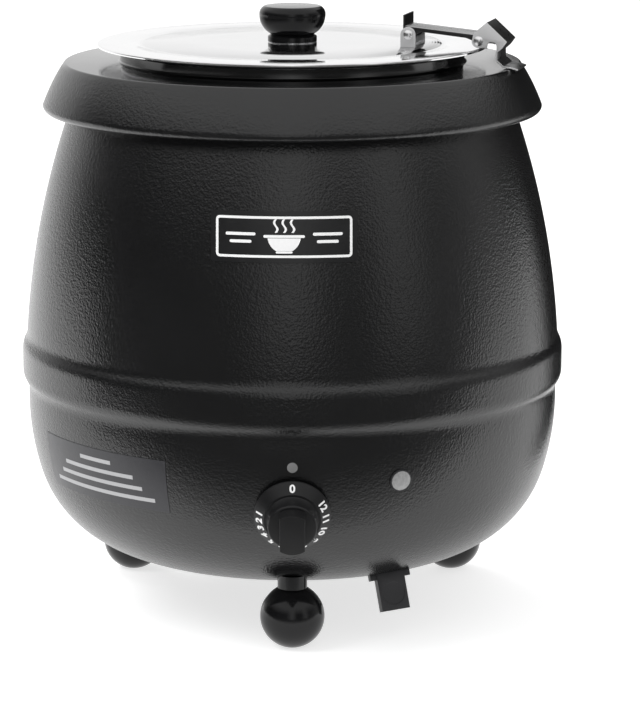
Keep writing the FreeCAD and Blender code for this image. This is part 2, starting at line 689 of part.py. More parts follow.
def nameplate():
    """Curved plate that follows the barrel's side, with rounded corners."""
    half, rise, bend = "PlateWidth / 2", "PlateHeight / 2", "1.5"
    outline = []
    for across, up in ((-1, -1), (1, -1), (1, 1), (-1, 1)):
        x, z = f"{across} * {half} - PlateShift", f"PlateMiddle + {up} * {rise}"
        near = (f"{x} - {across} * {bend}", z)
        side = (x, f"{z} - {up} * {bend}")
        first, second = (near, side) if across * up < 0 else (side, near)
        outline += [first, second + (bend,)]
    block = doc.addObject("Part::Extrusion", "plate_block")
    block.Base = upright("plate_shape", outline)
    block.DirMode = "Custom"
    block.Dir = Vector(0, -1, 0)
    block.Solid = True
    bind(block, LengthFwd="BodyRadius * 1.4")
    band = skin_band("plate_band", "PlateMiddle - PlateHeight", "PlateMiddle + PlateHeight",
                     "PlateThickness", "Waist", "WidestHeight", "UpperArc")
    node(common("plate_curved", band, block), "nameplate")


def safety_label():
    half = "LabelHeight / 2"
    sweep = "LabelWidth / LowerRadius * 180 / pi"
    band = skin_band("label_band", f"LabelMiddle - {half}", f"LabelMiddle + {half}", "LabelThickness",
                     "LowerCentre", "LowerWidest", "LowerArc", sweep)
    start = -90 - value("LabelAzimuth") - value(sweep) / 2
    band.Placement = Placement(Vector(), Rotation(Vector(0, 0, 1), start))
    node(band, "safety_label")


def cable_gland(frame, former):
    """Moulded cord gland whose clamp and screw grip a cable in its bore."""
    block = box("gland_block", "GlandWidth", "15", "GlandDepth + 2", (0, 0, -2))
    lugs = box("gland_lugs", "GlandWidth + 7", "12", "5", (0, 0, -2))
    outside = cut("gland_outside", moved(fuse("gland_shape", block, lugs), frame), former)
    neck = moved(cylinder("gland_neck", "CableRadius + 2.3", "9", (0, 0, -8)), frame)
    bore = moved(cylinder("gland_bore", "CableRadius", "GlandDepth + 20", (0, 0, -10)), frame)
    slot = moved(box("gland_slot", "9", "4", "9", (0, "CableRadius + 2.1", "GlandDepth * 0.3")), frame)
    lean = Placement(Vector(0, value("-7.2"), value("GlandDepth * 0.55")), Rotation(Vector(1, 0, 0), 90))
    mark = moved(moved(cylinder("gland_mark", "GlandMark", "3"), lean), frame)
    node(cut("gland", fuse("gland_whole", outside, neck), bore, slot, mark), "gland_body")
    clamp = box("clamp_block", "8.6", "2.4", "8.6", (0, "CableRadius + 1.4", "GlandDepth * 0.3 + 0.2"))
    node(moved(clamp, frame), "gland_clamp")
    turn = Placement(Vector(0, value("CableRadius + 2.6"), value("GlandDepth * 0.3 + 4.5")),
                     Rotation(Vector(1, 0, 0), -90))
    shank = cylinder("gland_shank", "1.6", "1.6")
    head = cylinder("gland_head", "2.8", "1.8", (0, 0, "1.4"))
    screw = fuse("gland_screw_whole", shank, head)
    node(moved(moved(screw, turn), frame), "gland_screw")
    nut = doc.addObject("Part::Prism", "gland_nut_body")
    nut.Polygon = 6
    bind(nut, Circumradius="CableRadius + 5.4", Height="3")
    put(nut, (0, 0, "-CasingWall - 3.8"))
    hole = cylinder("gland_nut_bore", "CableRadius + 2.3", "9", (0, 0, -9))
    node(moved(cut("gland_nut_cut", nut, hole), frame), "gland_nut")


def terminal_block():
    """Mains terminals on a shelf beside the well."""
    frame = Placement(Vector(), Rotation(Vector(0, 0, 1), -38))
    tab = box("shelf_tab", "1.5", "34", "22", ("WellRadius + 0.75", 0, "WellBottom + 26"))
    top = box("shelf_top", "18", "34", "1.5", ("WellRadius + 9", 0, "WellBottom + 26"))
    node(moved(fuse("shelf", tab, top), frame), "terminal_shelf")
    block = box("terminal_case", "13", "32", "13", ("WellRadius + 10", 0, "WellBottom + 27.5"))
    tools = []
    for index, along in enumerate((-10, 0, 10)):
        entry = doc.addObject("Part::Cylinder", f"entry_{index}")
        bind(entry, Radius="2.2", Height="20")
        entry.Placement = Placement(Vector(0, along, 0), Rotation(Vector(0, 1, 0), 90))
        lift = Placement(Vector(value("WellRadius"), 0, value("WellBottom + 34")), Rotation())
        tools.append(moved(entry, lift))
        tools.append(cylinder(f"access_{index}", "2", "9", ("WellRadius + 10", along, "WellBottom + 34")))
    node(moved(cut("terminals", block, *tools), frame), "terminal_block")


def bent_tube(name, points, radius, bend):
    """A round tube along straight runs joined by equal arcs."""
    edges, last = [], points[0]
    for before, at, after in zip(points, points[1:], points[2:]):
        back, ahead = (before - at).normalize(), (after - at).normalize()
        half = back.getAngle(ahead) / 2
        reach = bend / math.tan(half)
        start, end = at + back * reach, at + ahead * reach
        centre = at + (back + ahead).normalize() * (bend / math.sin(half))
        middle = centre + (at - centre).normalize() * bend
        edges += [Part.LineSegment(last, start).toShape(), Part.Arc(start, middle, end).toShape()]
        last = end
    edges.append(Part.LineSegment(last, points[-1]).toShape())
    ring = Part.Circle(points[0], points[1] - points[0], radius).toShape()
    item = doc.addObject("Part::Feature", name)
    item.Shape = Part.Wire(edges).makePipeShell([Part.Wire([ring])], True, False)
    return item


def sensing_line(frame):
    """Bulb strapped beside the well and the fine tube that joins it to the thermostat."""
    side = Placement(Vector(), Rotation(Vector(0, 0, 1), -112))
    bulb = cylinder("bulb_body", "3", "60", ("WellRadius + 3.1", 0, "WellBottom + 28"))
    node(moved(bulb, side), "sensing_bulb")
    start = frame.multVec(Vector(-8, -17, -16))
    down = frame.multVec(Vector(-8, -30, -16))
    foot = side.multVec(Vector(value("WellRadius + 3.1"), 0, down.z))
    end = side.multVec(Vector(value("WellRadius + 3.1"), 0, value("WellBottom + 28")))
    node(bent_tube("capillary", [start, down, foot, end], 0.9, 6), "capillary_tube")


# ---- Pot and lid ----------------------------------------------------------------------------

def inner_pot():
    outline = [
        (0, "PotBottom"),
        ("PotRadius - PotCorner", "PotBottom"),
        ("PotRadius", "PotBottom + PotCorner", "PotCorner"),
        ("PotRadius", "PotRimFoot"),
    ]
    half = "PotRimHeight / 2"
    rim = turned("rim", [
        ("PotRadius - PotWall", "PotRimFoot"),
        (f"PotRimRadius - {half}", "PotRimFoot"),
        (f"PotRimRadius - {half}", "PotRimTop", half),
        ("PotRadius - PotWall", "PotRimTop"),
    ])
    node(fuse("pot", spun("pot", outline, "PotWall"), rim), "inner_pot")


def rivet_places():
    """Where the lid's bracket is riveted down, in the hinge frame."""
    return [("LidPinReach - 0.6", side) for side in (-6, 6)]


def lid_disc(frame):
    inner, outer = "LidRingRadius - LidRingWidth / 2", "LidRingRadius + LidRingWidth / 2"
    outline = [
        ("HandleScrewRadius", "LidTop"),
        (inner, "LidTop"),
        (f"{inner} + LidRingDrop * 2", "LidTop - LidRingDrop"),
        (f"{outer} - LidRingDrop * 2", "LidTop - LidRingDrop"),
        (outer, "LidTop"),
        ("LidRadius - LidSheet * 1.2", "LidTop"),
        ("LidRadius", "LidTop - LidSheet * 1.2", "-LidSheet * 1.2"),
        ("LidRadius", "LidUnder - LidHem"),
    ]
    sheet_metal = spun("lid", outline, "-LidSheet")
    holes = [moved(cylinder(f"rivet_hole_{i}", "1.5", "4", (x, y, "LidTop - 2")), frame)
             for i, (x, y) in enumerate(rivet_places())]
    node(cut("lid_cut", sheet_metal, *holes), "lid_disc")


def lid_handle():
    """Turned black handle with the screw and washer that hold it through the lid."""
    neck, neck_rise, shoulder = "HandleFootRadius - 1.8", "4.6", "HandleHeight - 5"
    run, rise = f"(HandleRadius - ({neck}))", f"({shoulder} - {neck_rise})"
    lip = "(HandleRadius - HandleTopRadius)"
    node(turned("handle", [
        ("HandleScrewRadius", "LidTop"),
        ("HandleFootRadius", "LidTop"),
        ("HandleFootRadius", "LidTop + 3.7"),
        (neck, f"LidTop + {neck_rise}"),
        ("HandleRadius", f"LidTop + {shoulder}", f"({run} ^ 2 + {rise} ^ 2) / (2 * {run})"),
        ("HandleTopRadius", "LidTop + HandleHeight", f"({lip} ^ 2 + 25) / (2 * {lip})"),
        (0, "LidTop + HandleHeight"),
        (0, "LidTop + HandleHeight * 0.6"),
        ("HandleScrewRadius", "LidTop + HandleHeight * 0.6"),
    ]), "lid_handle")
    washer = cylinder("washer", "HandleScrewRadius * 2.4", "1", (0, 0, "LidUnder - 1"))
    bore = cylinder("washer_bore", "HandleScrewRadius", "1", (0, 0, "LidUnder - 1"))
    node(cut("washer_cut", washer, bore), "handle_washer")
    shank = cylinder("handle_shank", "HandleScrewRadius", "HandleHeight * 0.6", (0, 0, "LidUnder - 1"))
    head = cylinder("handle_head", "HandleScrewRadius * 1.8", "2.8", (0, 0, "LidUnder - 3.8"))
    node(fuse("handle_screw_whole", shank, head), "handle_screw")


# ---- Hinge, drawn in a frame whose X runs out through it -----------------------------------------

def pin_hole(name, reach, height, radius):
    hole = doc.addObject("Part::Cylinder", name)
    bind(hole, Radius=radius, Height="HingeOuter * 4")
    hole.Placement = Placement(Vector(), Rotation(Vector(1, 0, 0), 90))
    return put(hole, (reach, "HingeOuter * 2", height))


def hinge_pin(name, label, reach, height, frame):
    """A rivet with a low domed head at each end."""
    head, dome = "PinRadius * 1.8", "PinRadius * 0.85"
    bend = f"(({head}) ^ 2 + ({dome}) ^ 2) / (2 * {dome})"
    pin = turned(name, [
        (0, f"-HingeOuter - {dome}"),
        (head, "-HingeOuter", bend),
        ("PinRadius", "-HingeOuter"),
        ("PinRadius", "HingeOuter"),
        (head, "HingeOuter"),
        (0, f"HingeOuter + {dome}", bend),
    ])
    place = Placement(Vector(value(reach), 0, value(height)), Rotation(Vector(1, 0, 0), 90))
    node(moved(moved(pin, place), frame), label)


def lid_bracket(frame):
    """Two ears on a riveted floor, joined by a web; they carry the lid's hinge pin."""
    left, right = "LidPinReach - EarRadius", "LidPinReach + EarRadius"
    floor, web_foot, web_top = "LidTop + HingeSheet", "LidTop + HingeSheet * 2.8", "LidPinHeight - HingeSheet"
    shape = pad("bracket", [
        (left, "LidTop"),
        (right, "LidTop"),
        (right, "LidPinHeight"),
        ("LidPinReach", "LidPinHeight + EarRadius", "EarRadius"),
        (left, "LidPinHeight", "EarRadius"),
    ], "HingeOuter * 2")
    side = "-HingeInner"
    room = box("bracket_room", "EarRadius * 2", "HingeInner * 2", "EarRadius * 4",
               (f"{left} - HingeSheet", side, floor), centred=False)
    slot = box("bracket_slot", "EarRadius", "HingeInner * 2", f"{web_foot} - ({floor})",
               (right + " - EarRadius / 2", side, floor), centred=False)
    over = box("bracket_over", "EarRadius", "HingeInner * 2", "EarRadius * 4",
               (right + " - EarRadius / 2", side, web_top), centred=False)
    hole = pin_hole("bracket_bore", "LidPinReach", "LidPinHeight", "PinRadius")
    rivets = [cylinder(f"bracket_hole_{i}", "1.5", "4", (x, y, "LidTop - 1"))
              for i, (x, y) in enumerate(rivet_places())]
    node(moved(cut("bracket_cut", shape, room, slot, over, hole, *rivets), frame), "lid_bracket")
    pieces = []
    for index, (x, y) in enumerate(rivet_places()):
        shank = cylinder(f"rivet_{index}", "1.5", "LidSheet + HingeSheet", (x, y, "LidUnder"))
        upper = cylinder(f"rivet_top_{index}", "2.3", "0.9", (x, y, floor))
        lower = cylinder(f"rivet_foot_{index}", "2.3", "0.7", (x, y, "LidUnder - 0.7"))
        pieces.append(moved(fuse(f"rivet_whole_{index}", shank, upper, lower), frame))
    node(group("rivets", pieces), "bracket_rivets")


def hinge_arm(frame):
    """Pressed channel between the two pins, with a stop tab at the lid end."""
    shape = pad("arm", [
        ("LidPinReach - ArmLug", "LidPinHeight"),
        ("LidPinReach", "LidPinHeight - ArmLug", "ArmLug"),
        ("LidPinReach + ArmLug", "LidPinHeight", "ArmLug"),
        ("LidPinReach + ArmLug * 2.4", "ArmHigh - ArmDepth"),
        ("ClipPinReach - ArmLug * 2.4", "ArmLow - ArmDepth / 2"),
        ("ClipPinReach - ArmLug", "ClipPinHeight"),
        ("ClipPinReach", "ClipPinHeight - ArmLug", "ArmLug"),
        ("ClipPinReach + ArmLug", "ClipPinHeight", "ArmLug"),
        ("ClipPinReach", "ArmLow", "ArmLug"),
        ("LidPinReach - ArmLug", "ArmHigh"),
    ], "ArmWidth")
    deep = "ArmHigh - ArmLug * 9"
    inside = pad("arm_inside", [
        ("LidPinReach - ArmLug * 4", deep),
        ("ClipPinReach + ArmLug * 4", deep),
        ("ClipPinReach + ArmLug * 4", "ArmLow - ArmSheet"),
        ("ClipPinReach", "ArmLow - ArmSheet"),
        ("LidPinReach - ArmLug", "ArmHigh - ArmSheet"),
        ("LidPinReach - ArmLug * 4", "ArmHigh - ArmSheet"),
    ], "ArmWidth - ArmSheet * 2")
    tab = box("arm_tab", "ArmSheet", "ArmWidth", "StopHeight + ArmSheet",
              ("LidPinReach - ArmLug + ArmSheet / 2", 0, "ArmHigh - ArmSheet"))
    bores = [pin_hole("arm_bore_lid", "LidPinReach", "LidPinHeight", "PinRadius + PinGap"),
             pin_hole("arm_bore_clip", "ClipPinReach", "ClipPinHeight", "PinRadius + PinGap")]
    channel = cut("arm_channel", shape, inside)
    node(moved(cut("arm_cut", fuse("arm_whole", channel, tab), *bores), frame), "hinge_arm")


def hinge_clip(frame):
    """Side plates on a bent strip whose foot hooks over the collar's top edge."""
    def at(out, up, *bend):
        return (f"ClipPinReach + ({out})", f"ClipPinHeight + ({up})", *bend)
    plates = pad("clip_plates", [
        at("-ClipBoss", 0), at(0, "-ClipBoss", "ClipBoss"), at(3.6, "-ClipBoss"), at(4.4, -4.3),
        at(5.15, -4.3), at(5.15, -2.9),
        at(7.9, -0.15, "-2.75"), at(10.65, -2.9, "-2.75"), at(10.65, -6.2), at(11.2, -6.2),
        at(14, -3.8), at(16.8, 0.1), at(4.8, 11), at(-2.8, 4.6)], "HingeOuter * 2")
    room = box("clip_room", "60", "HingeInner * 2", "60", ("ClipPinReach", 0, "ClipPinHeight - 30"))
    sides = cut("clip_sides", plates, room)
    path = upright("clip_path", [
        at(4.8, 11), at(16.8, 0.1), at(14, -3.8), at(11.2, -6.2), at(11.2, -10.6),
        ("ClipPinReach + 15", "CollarTop + RestGap + HingeSheet + 0.4"),
        ("CollarRadius - 0.5", "CollarTop + RestGap + HingeSheet"),
        ("CollarRadius + FootReach", "CollarTop + RestGap / 2"),
    ], closed=False)
    skin = doc.addObject("Part::Offset2D", "clip_skin")
    skin.Source = path
    skin.Mode = "Skin"
    skin.Join = 2
    skin.Fill = True
    bind(skin, Value="-HingeSheet")
    strip = doc.addObject("Part::Extrusion", "clip_strip")
    strip.Base = skin
    strip.DirMode = "Custom"
    strip.Dir = Vector(0, 1, 0)
    strip.Solid = True
    bind(strip, LengthFwd="HingeOuter", LengthRev="HingeOuter")
    hole = pin_hole("clip_bore", "ClipPinReach", "ClipPinHeight", "PinRadius")
    node(moved(cut("clip_cut", fuse("clip_whole", sides, strip), hole), frame), "hinge_clip")


# ---- Assembly -------------------------------------------------------------------------------------

def casing_openings(dial, lamp_at, gland_at):
    """Round holes through the casing for what passes it."""
    tools = [
        moved(cylinder("hole_spindle", "SpindleRadius + 2", "12", (0, 0, -6)), dial),
        moved(cylinder("hole_lamp", "LampStem", "12", (0, 0, -6)), lamp_at),
        moved(cylinder("hole_gland", "CableRadius + 2.3", "12", (0, 0, -6)), gland_at),
    ]
    for index, across in enumerate((-15, 15)):
        tools.append(moved(cylinder(f"hole_stat_{index}", "1.75", "12", (across, 0, -6)), dial))
    for index, frame in enumerate(feet_frames()):
        tools.append(moved(cylinder(f"hole_foot_{index}", "StudRadius", "40", (0, 0, 20)), frame))
    tools += ring_of("hole_top", "2", "CasingWall * 3", "FlangeRadius - 4.5",
                     "CasingTop - CasingWall * 2", 4, 45)
    tools += ring_of("hole_base", "1.75", "CasingWall * 2", "BaseOpening + 5", "CasingBottom - 0.2", 4, 45)
    return tools


def build():
    dial = casing_frame(0, "DialHeight")
    lamp_at = casing_frame("LampAzimuth", "LampHeight")
    gland_at = corner_frame("GlandAzimuth", "GlandDip")
    gland_at.Rotation = gland_at.Rotation * Rotation(Vector(0, 0, 1), 180 + value("GlandTurn"))
    hinge = hinge_frame()
    former = body_former()
    outer_casing(casing_openings(dial, lamp_at, gland_at))
    top_collar()
    base_plate()
    screws("base", "base_screws", "1.75", "3.2", "6", "BaseOpening + 5", "CasingBottom - CasingWall", 4)
    screws("top", "collar_screws", "2", "3.6", "CollarUnder - CasingTop + CasingWall + 1.6",
           "FlangeRadius - 4.5", "CasingTop - CasingWall", 4)
    feet(former)
    water_well()
    well_gasket()
    heater()
    thermostat(dial)
    sensing_line(dial)
    control_knob(dial)
    pointer_dot()
    lamp(lamp_at)
    nameplate()
    safety_label()
    cable_gland(gland_at, former)
    terminal_block()
    inner_pot()
    lid_disc(hinge)
    lid_handle()
    lid_bracket(hinge)
    hinge_pin("lid_pin", "lid_hinge_pin", "LidPinReach", "LidPinHeight", hinge)
    hinge_arm(hinge)
    hinge_clip(hinge)
    hinge_pin("clip_pin", "clip_hinge_pin", "ClipPinReach", "ClipPinHeight", hinge)


def check():
    """Stop if any feature failed or any finished piece is empty or faulty."""
    doc.recompute()
    for item in doc.Objects:
        if {"Invalid", "Error"} & set(item.State):
            raise RuntimeError(f"{item.Name} failed: {item.State}")
    for item in NODES:
        shape = item.Shape
        if shape.isNull() or not shape.isValid() or not shape.Solids or shape.Volume <= 0:
            raise RuntimeError(f"{item.Label} is not a sound solid")


def export():
    os.makedirs("parts", exist_ok=True)
    for item in NODES:
        item.Shape.exportStep(f"parts/{item.Label}.step")


def fill_sheet():
    for row, (name, number, meaning) in enumerate(SIZES, start=1):
        sheet.set(f"A{row}", name)
        sheet.set(f"B{row}", str(number))
        sheet.set(f"C{row}", meaning)
        sheet.setAlias(f"B{row}", name)
    doc.recompute()


fill_sheet()
build()
check()
export()
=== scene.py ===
import json
from math import asin, atan2, cos, degrees, pi, radians, sin, sqrt

import bmesh
import bpy
from mathutils import Matrix, Vector

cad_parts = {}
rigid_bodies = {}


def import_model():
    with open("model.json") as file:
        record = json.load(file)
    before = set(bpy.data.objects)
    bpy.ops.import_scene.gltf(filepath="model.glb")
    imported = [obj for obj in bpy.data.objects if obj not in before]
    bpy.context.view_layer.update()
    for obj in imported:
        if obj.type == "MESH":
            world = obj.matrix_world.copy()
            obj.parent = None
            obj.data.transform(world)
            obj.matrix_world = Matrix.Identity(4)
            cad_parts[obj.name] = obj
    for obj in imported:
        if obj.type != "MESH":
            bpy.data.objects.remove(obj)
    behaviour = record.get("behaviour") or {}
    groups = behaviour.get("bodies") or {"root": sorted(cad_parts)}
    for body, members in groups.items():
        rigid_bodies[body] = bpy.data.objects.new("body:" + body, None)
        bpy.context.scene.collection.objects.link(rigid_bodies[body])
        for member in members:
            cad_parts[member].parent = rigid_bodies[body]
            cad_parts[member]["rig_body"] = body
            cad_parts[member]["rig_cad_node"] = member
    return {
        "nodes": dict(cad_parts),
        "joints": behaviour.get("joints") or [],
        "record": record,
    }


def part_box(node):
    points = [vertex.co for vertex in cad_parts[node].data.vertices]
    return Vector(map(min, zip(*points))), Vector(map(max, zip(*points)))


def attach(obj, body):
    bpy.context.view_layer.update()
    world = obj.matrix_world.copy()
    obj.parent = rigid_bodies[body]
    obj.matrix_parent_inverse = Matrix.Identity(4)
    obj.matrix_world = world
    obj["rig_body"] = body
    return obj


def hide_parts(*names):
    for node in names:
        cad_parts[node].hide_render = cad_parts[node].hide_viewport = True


bl_info = {
    "name": "Soup Kettle",
    "version": (1, 0, 0),
    "blender": (4, 5, 0),
    "location": "3D View > Sidebar > Kettle",
    "description": "Models the visible pieces of a wet-well soup kettle round its design frame",
    "category": "Add Mesh",
}

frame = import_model()

MM = 0.001               # sizes are written in millimetres and used in metres
AROUND = 160             # steps of a full turn on the large round pieces
TRIM_AROUND = 72         # steps of a full turn on the small round pieces
CASING_LOW, CASING_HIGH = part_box("outer_casing")
COLLAR_LOW, COLLAR_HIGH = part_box("top_collar")
HANDLE_LOW, HANDLE_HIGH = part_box("lid_handle")
JOINTS = {joint["name"]: joint for joint in frame["joints"]}


# ---- Sizes and colours a user may change ----------------------------------------------------

def length(name, millimetres, description):
    return bpy.props.FloatProperty(
        name=name, description=description, default=millimetres * MM, unit="LENGTH",
        subtype="DISTANCE", precision=5)


def colour(name, value, description):
    return bpy.props.FloatVectorProperty(
        name=name, description=description, default=value, size=3, min=0, max=1, subtype="COLOR")


class KettleSizes(bpy.types.PropertyGroup):
    """Sizes of the kettle's visible pieces."""
    barrel_radius: length("Barrel radius", 158.7, "Radius of the barrel at its widest")
    bead_radius: length(
        "Bead radius", CASING_HIGH.x / MM - 0.02, "Radius of the pressed bead's crown")
    bead_height: length("Bead height", 148, "Height of the bead's middle")
    bead_crown: length("Bead crown", 12, "Width of the bead's flat crown")
    bead_ramp: length("Bead ramp", 11.5, "Height of each ramp of the bead")
    widest_height: length("Widest height", 133.9, "Height at which the barrel is widest")
    upper_arc: length("Upper arc", 487, "Radius of the barrel's side above the bead")
    lower_inset: length("Lower inset", 1.5, "How far the lower body lies inside the barrel radius")
    lower_arc: length("Lower arc", 150, "Radius of the side below the bead")
    corner_arc: length("Corner arc", 68.7, "Radius of the rounded bottom corner")
    corner_slope: bpy.props.FloatProperty(
        name="Corner slope", description="Slope where side and bottom corner meet",
        default=radians(17.1), unit="ROTATION", subtype="ANGLE")
    casing_wall: length("Casing wall", 1.2, "Sheet thickness of the casing")
    collar_radius: length("Collar radius", 133.9, "Radius of the collar's top edge")
    collar_foot_radius: length("Collar foot radius", 146.7, "Radius of the collar's flared foot")
    collar_top: length("Collar top", 323.6, "Height of the collar's flat top face")
    collar_wall: length("Collar wall", 2.5, "Wall of the collar")
    neck_radius: length("Neck radius", 101, "Outer radius of the neck that carries the pot")
    well_radius: length("Well radius", 107, "Outer radius of the water well")
    pot_radius: length("Pot radius", 97, "Outer radius of the lift-out pot")
    lid_radius: length("Lid radius", 114.5, "Radius of the lid")
    lid_sheet: length("Lid sheet", 0.8, "Sheet thickness of the lid")
    lid_edge: length("Lid edge", 1.6, "Height of the lid's turned-down edge")
    lid_ring: length("Lid ring", 89, "Radius of the ring that centres the lid in the pot")
    handle_radius: length("Handle radius", 19.5, "Largest radius of the lid's handle")
    ball_radius: length("Ball radius", 18.5, "Radius of a foot's ball")
    foot_circle: length("Foot circle", 113.8, "Radius of the circle the feet stand on")
    foot_neck: length("Foot neck", 8.5, "Radius of the spacer above a ball")
    dial_radius: length("Dial radius", 21.5, "Radius of the dial's skirt")
    dial_boss: length("Dial boss", 14.6, "Radius of the dial's boss")
    grip_width: length("Grip width", 14, "Width of the dial's grip bar")
    grip_length: length("Grip length", 24.4, "Length of the dial's grip bar")
    dot_radius: length("Dot radius", 2.95, "Radius of the pointer dot")
    dot_height: length("Dot height", 115.3, "Height of the pointer dot's middle")
    lamp_radius: length("Lamp radius", 6.4, "Outer radius of the lamp's bezel")
    lamp_height: length("Lamp height", 105, "Height of the lamp's middle")
    lamp_bearing: bpy.props.FloatProperty(
        name="Lamp bearing", description="How far round to the right of the dial the lamp stands",
        default=radians(22.8), unit="ROTATION", subtype="ANGLE")
    badge_line: length("Badge line", 1.35, "Width of the line round the badge")
    peel: length("Orange peel", 1.2, "Grain of the powder coat's orange peel")


class KettleColours(bpy.types.PropertyGroup):
    """Colours of the kettle's finishes."""
    coat: colour("Powder coat", (0.0046, 0.0047, 0.0050), "Black textured powder coat")
    phenolic: colour("Phenolic", (0.006, 0.006, 0.0065), "Polished black phenolic")
    dial: colour("Dial", (0.009, 0.009, 0.0095), "Black moulded dial")
    steel: colour("Polished steel", (0.90, 0.90, 0.905), "Mirror-polished lid steel")
    pressed: colour("Pressed steel", (0.74, 0.74, 0.745), "Bright hinge pressings")
    zinc: colour("Zinc", (0.55, 0.56, 0.58), "Zinc-plated fasteners")
    print_white: colour("White print", (0.86, 0.86, 0.86), "White numbers, badge frame and motif")
    label_print: colour("Label print", (0.42, 0.42, 0.43), "Pale bars on the label")
    label_film: colour("Label film", (0.026, 0.026, 0.030), "Dark label film")
    lens: colour("Lamp lens", (0.29, 0.29, 0.29), "Pale lens of the unlit lamp")
    dot: colour("Dot", (0.18, 0.18, 0.18), "Grey pointer dot")
    nylon: colour("Nylon", (0.030, 0.030, 0.032), "Moulded nylon of the gland and terminals")
    rubber: colour("Rubber", (0.35, 0.06, 0.035), "Red silicone seal")
    aluminium: colour("Aluminium", (0.72, 0.72, 0.74), "Cast heat spreader")
    sheath: colour("Sheath", (0.22, 0.20, 0.19), "Heat-darkened element sheath")
    copper: colour("Copper", (0.75, 0.36, 0.22), "Drawn copper tube")


def sizes():
    return bpy.context.scene.kettle_sizes


def colours():
    return bpy.context.scene.kettle_colours


# ---- Shader arithmetic ----------------------------------------------------------------------

class Wire:
    """A node socket that plain arithmetic works on; each operation adds its Math node."""

    def __init__(self, graph, socket):
        self.graph = graph
        self.socket = socket

    def maths(self, operation, first, second):
        return self.graph.node("ShaderNodeMath", {"operation": operation}, {0: first, 1: second})

    def __add__(self, other):
        return self.maths("ADD", self, other)

    def __sub__(self, other):
        return self.maths("SUBTRACT", self, other)

    def __rsub__(self, other):
        return self.maths("SUBTRACT", other, self)

    def __mul__(self, other):
        return self.maths("MULTIPLY", self, other)

    def __pow__(self, other):
        return self.maths("POWER", self, other)

    __radd__ = __add__
    __rmul__ = __mul__


class Graph:
    """The node tree of one finish."""

    def __init__(self, tree):
        self.tree = tree
        tree.nodes.clear()

    def node(self, kind, settings=None, sockets=None, output=0):
        """Add a node: its settings first, then its sockets' values or links."""
        made = self.tree.nodes.new(kind)
        for name, value in (settings or {}).items():
            if name == "stops":
                self.set_stops(made.color_ramp, value)
            else:
                setattr(made, name, value)
        for key, value in (sockets or {}).items():
            if isinstance(value, Wire):
                self.tree.links.new(value.socket, made.inputs[key])
            else:
                made.inputs[key].default_value = value
        return Wire(self, made.outputs[output])

    def set_stops(self, ramp, stops):
        while len(ramp.elements) < len(stops):
            ramp.elements.new(1)
        for element, (place, level) in zip(ramp.elements, stops):
            element.position = place
            element.color = (level, level, level, 1)

    def place(self):
        return self.node("ShaderNodeTexCoord", output="Object")

    def noise(self, vector, scale, detail=2.0, roughness=0.5):
        return self.node("ShaderNodeTexNoise", {}, {
            "Vector": vector, "Scale": scale, "Detail": detail, "Roughness": roughness})

    def ramp(self, factor, *stops):
        return self.node("ShaderNodeValToRGB", {"stops": stops}, {0: factor})

    def shades(self, factor, dark, light):
        """A colour between two colours."""
        return self.node("ShaderNodeMix", {"data_type": "RGBA"}, {
            0: factor, 6: (*dark, 1), 7: (*light, 1)}, output=2)

    def stretched(self, vector, scale):
        return self.node("ShaderNodeMapping", {}, {"Vector": vector, "Scale": scale})

    def part(self, vector, axis):
        return self.node("ShaderNodeSeparateXYZ", {}, {0: vector}, output=axis)

    def bump(self, height, distance, strength=1.0):
        return self.node("ShaderNodeBump", {}, {
            "Strength": strength, "Distance": distance, "Height": height})

    def surface(self, sockets):
        shader = self.node("ShaderNodeBsdfPrincipled", {}, sockets)
        self.node_output(shader)

    def node_output(self, shader):
        made = self.tree.nodes.new("ShaderNodeOutputMaterial")
        self.tree.links.new(shader.socket, made.inputs[0])


def shade(value, factor):
    """A colour made darker or lighter by a factor."""
    return tuple(min(channel * factor, 1.0) for channel in value)


def new_finish(name):
    made = bpy.data.materials.new(name)
    made.use_nodes = True
    return made, Graph(made.node_tree)


# ---- Finishes -------------------------------------------------------------------------------

def powder_coat(name, tint, smooth_above):
    """Half-gloss powder coat whose orange peel fades out above a height."""
    made, graph = new_finish(name)
    place = graph.place()
    pitch = 1 / sizes().peel
    cells = graph.node("ShaderNodeTexVoronoi", {"feature": "SMOOTH_F1"}, {
        "Vector": place, "Scale": pitch, "Smoothness": 0.7, "Randomness": 1.0})
    ripple = graph.noise(place, pitch * 0.55, 3.0, 0.55)
    broad = graph.noise(place, 14.0, 4.0, 0.6)
    cloud = graph.ramp(broad, (0.3, 0.0), (0.7, 1.0))
    height = graph.part(place, 2)
    peel = graph.ramp((height - smooth_above) * 400 + 0.5, (0.0, 1.0), (1.0, 0.0))
    relief = (cells * 0.55 + ripple * 0.9) * peel + graph.noise(place, 240.0) * 0.05
    graph.surface({
        "Base Color": graph.shades(cloud, shade(tint, 0.82), shade(tint, 1.2)),
        "Roughness": 0.09 + peel * 0.12 + broad * 0.08,
        "IOR": 1.6,
        "Normal": graph.bump(relief, 0.00021),
    })
    return made


def gloss_black(name, tint, level=0.10):
    """Polished moulded black with a trace of handling marks."""
    made, graph = new_finish(name)
    place = graph.place()
    smear = graph.noise(graph.stretched(place, (1.0, 1.0, 3.0)), 60.0, 4.0, 0.6)
    fine = graph.noise(place, 900.0, 2.0)
    graph.surface({
        "Base Color": graph.shades(smear, shade(tint, 0.8), shade(tint, 1.3)),
        "Roughness": level + smear * 0.10,
        "IOR": 1.38,
        "Normal": graph.bump(fine, 0.00002),
    })
    return made


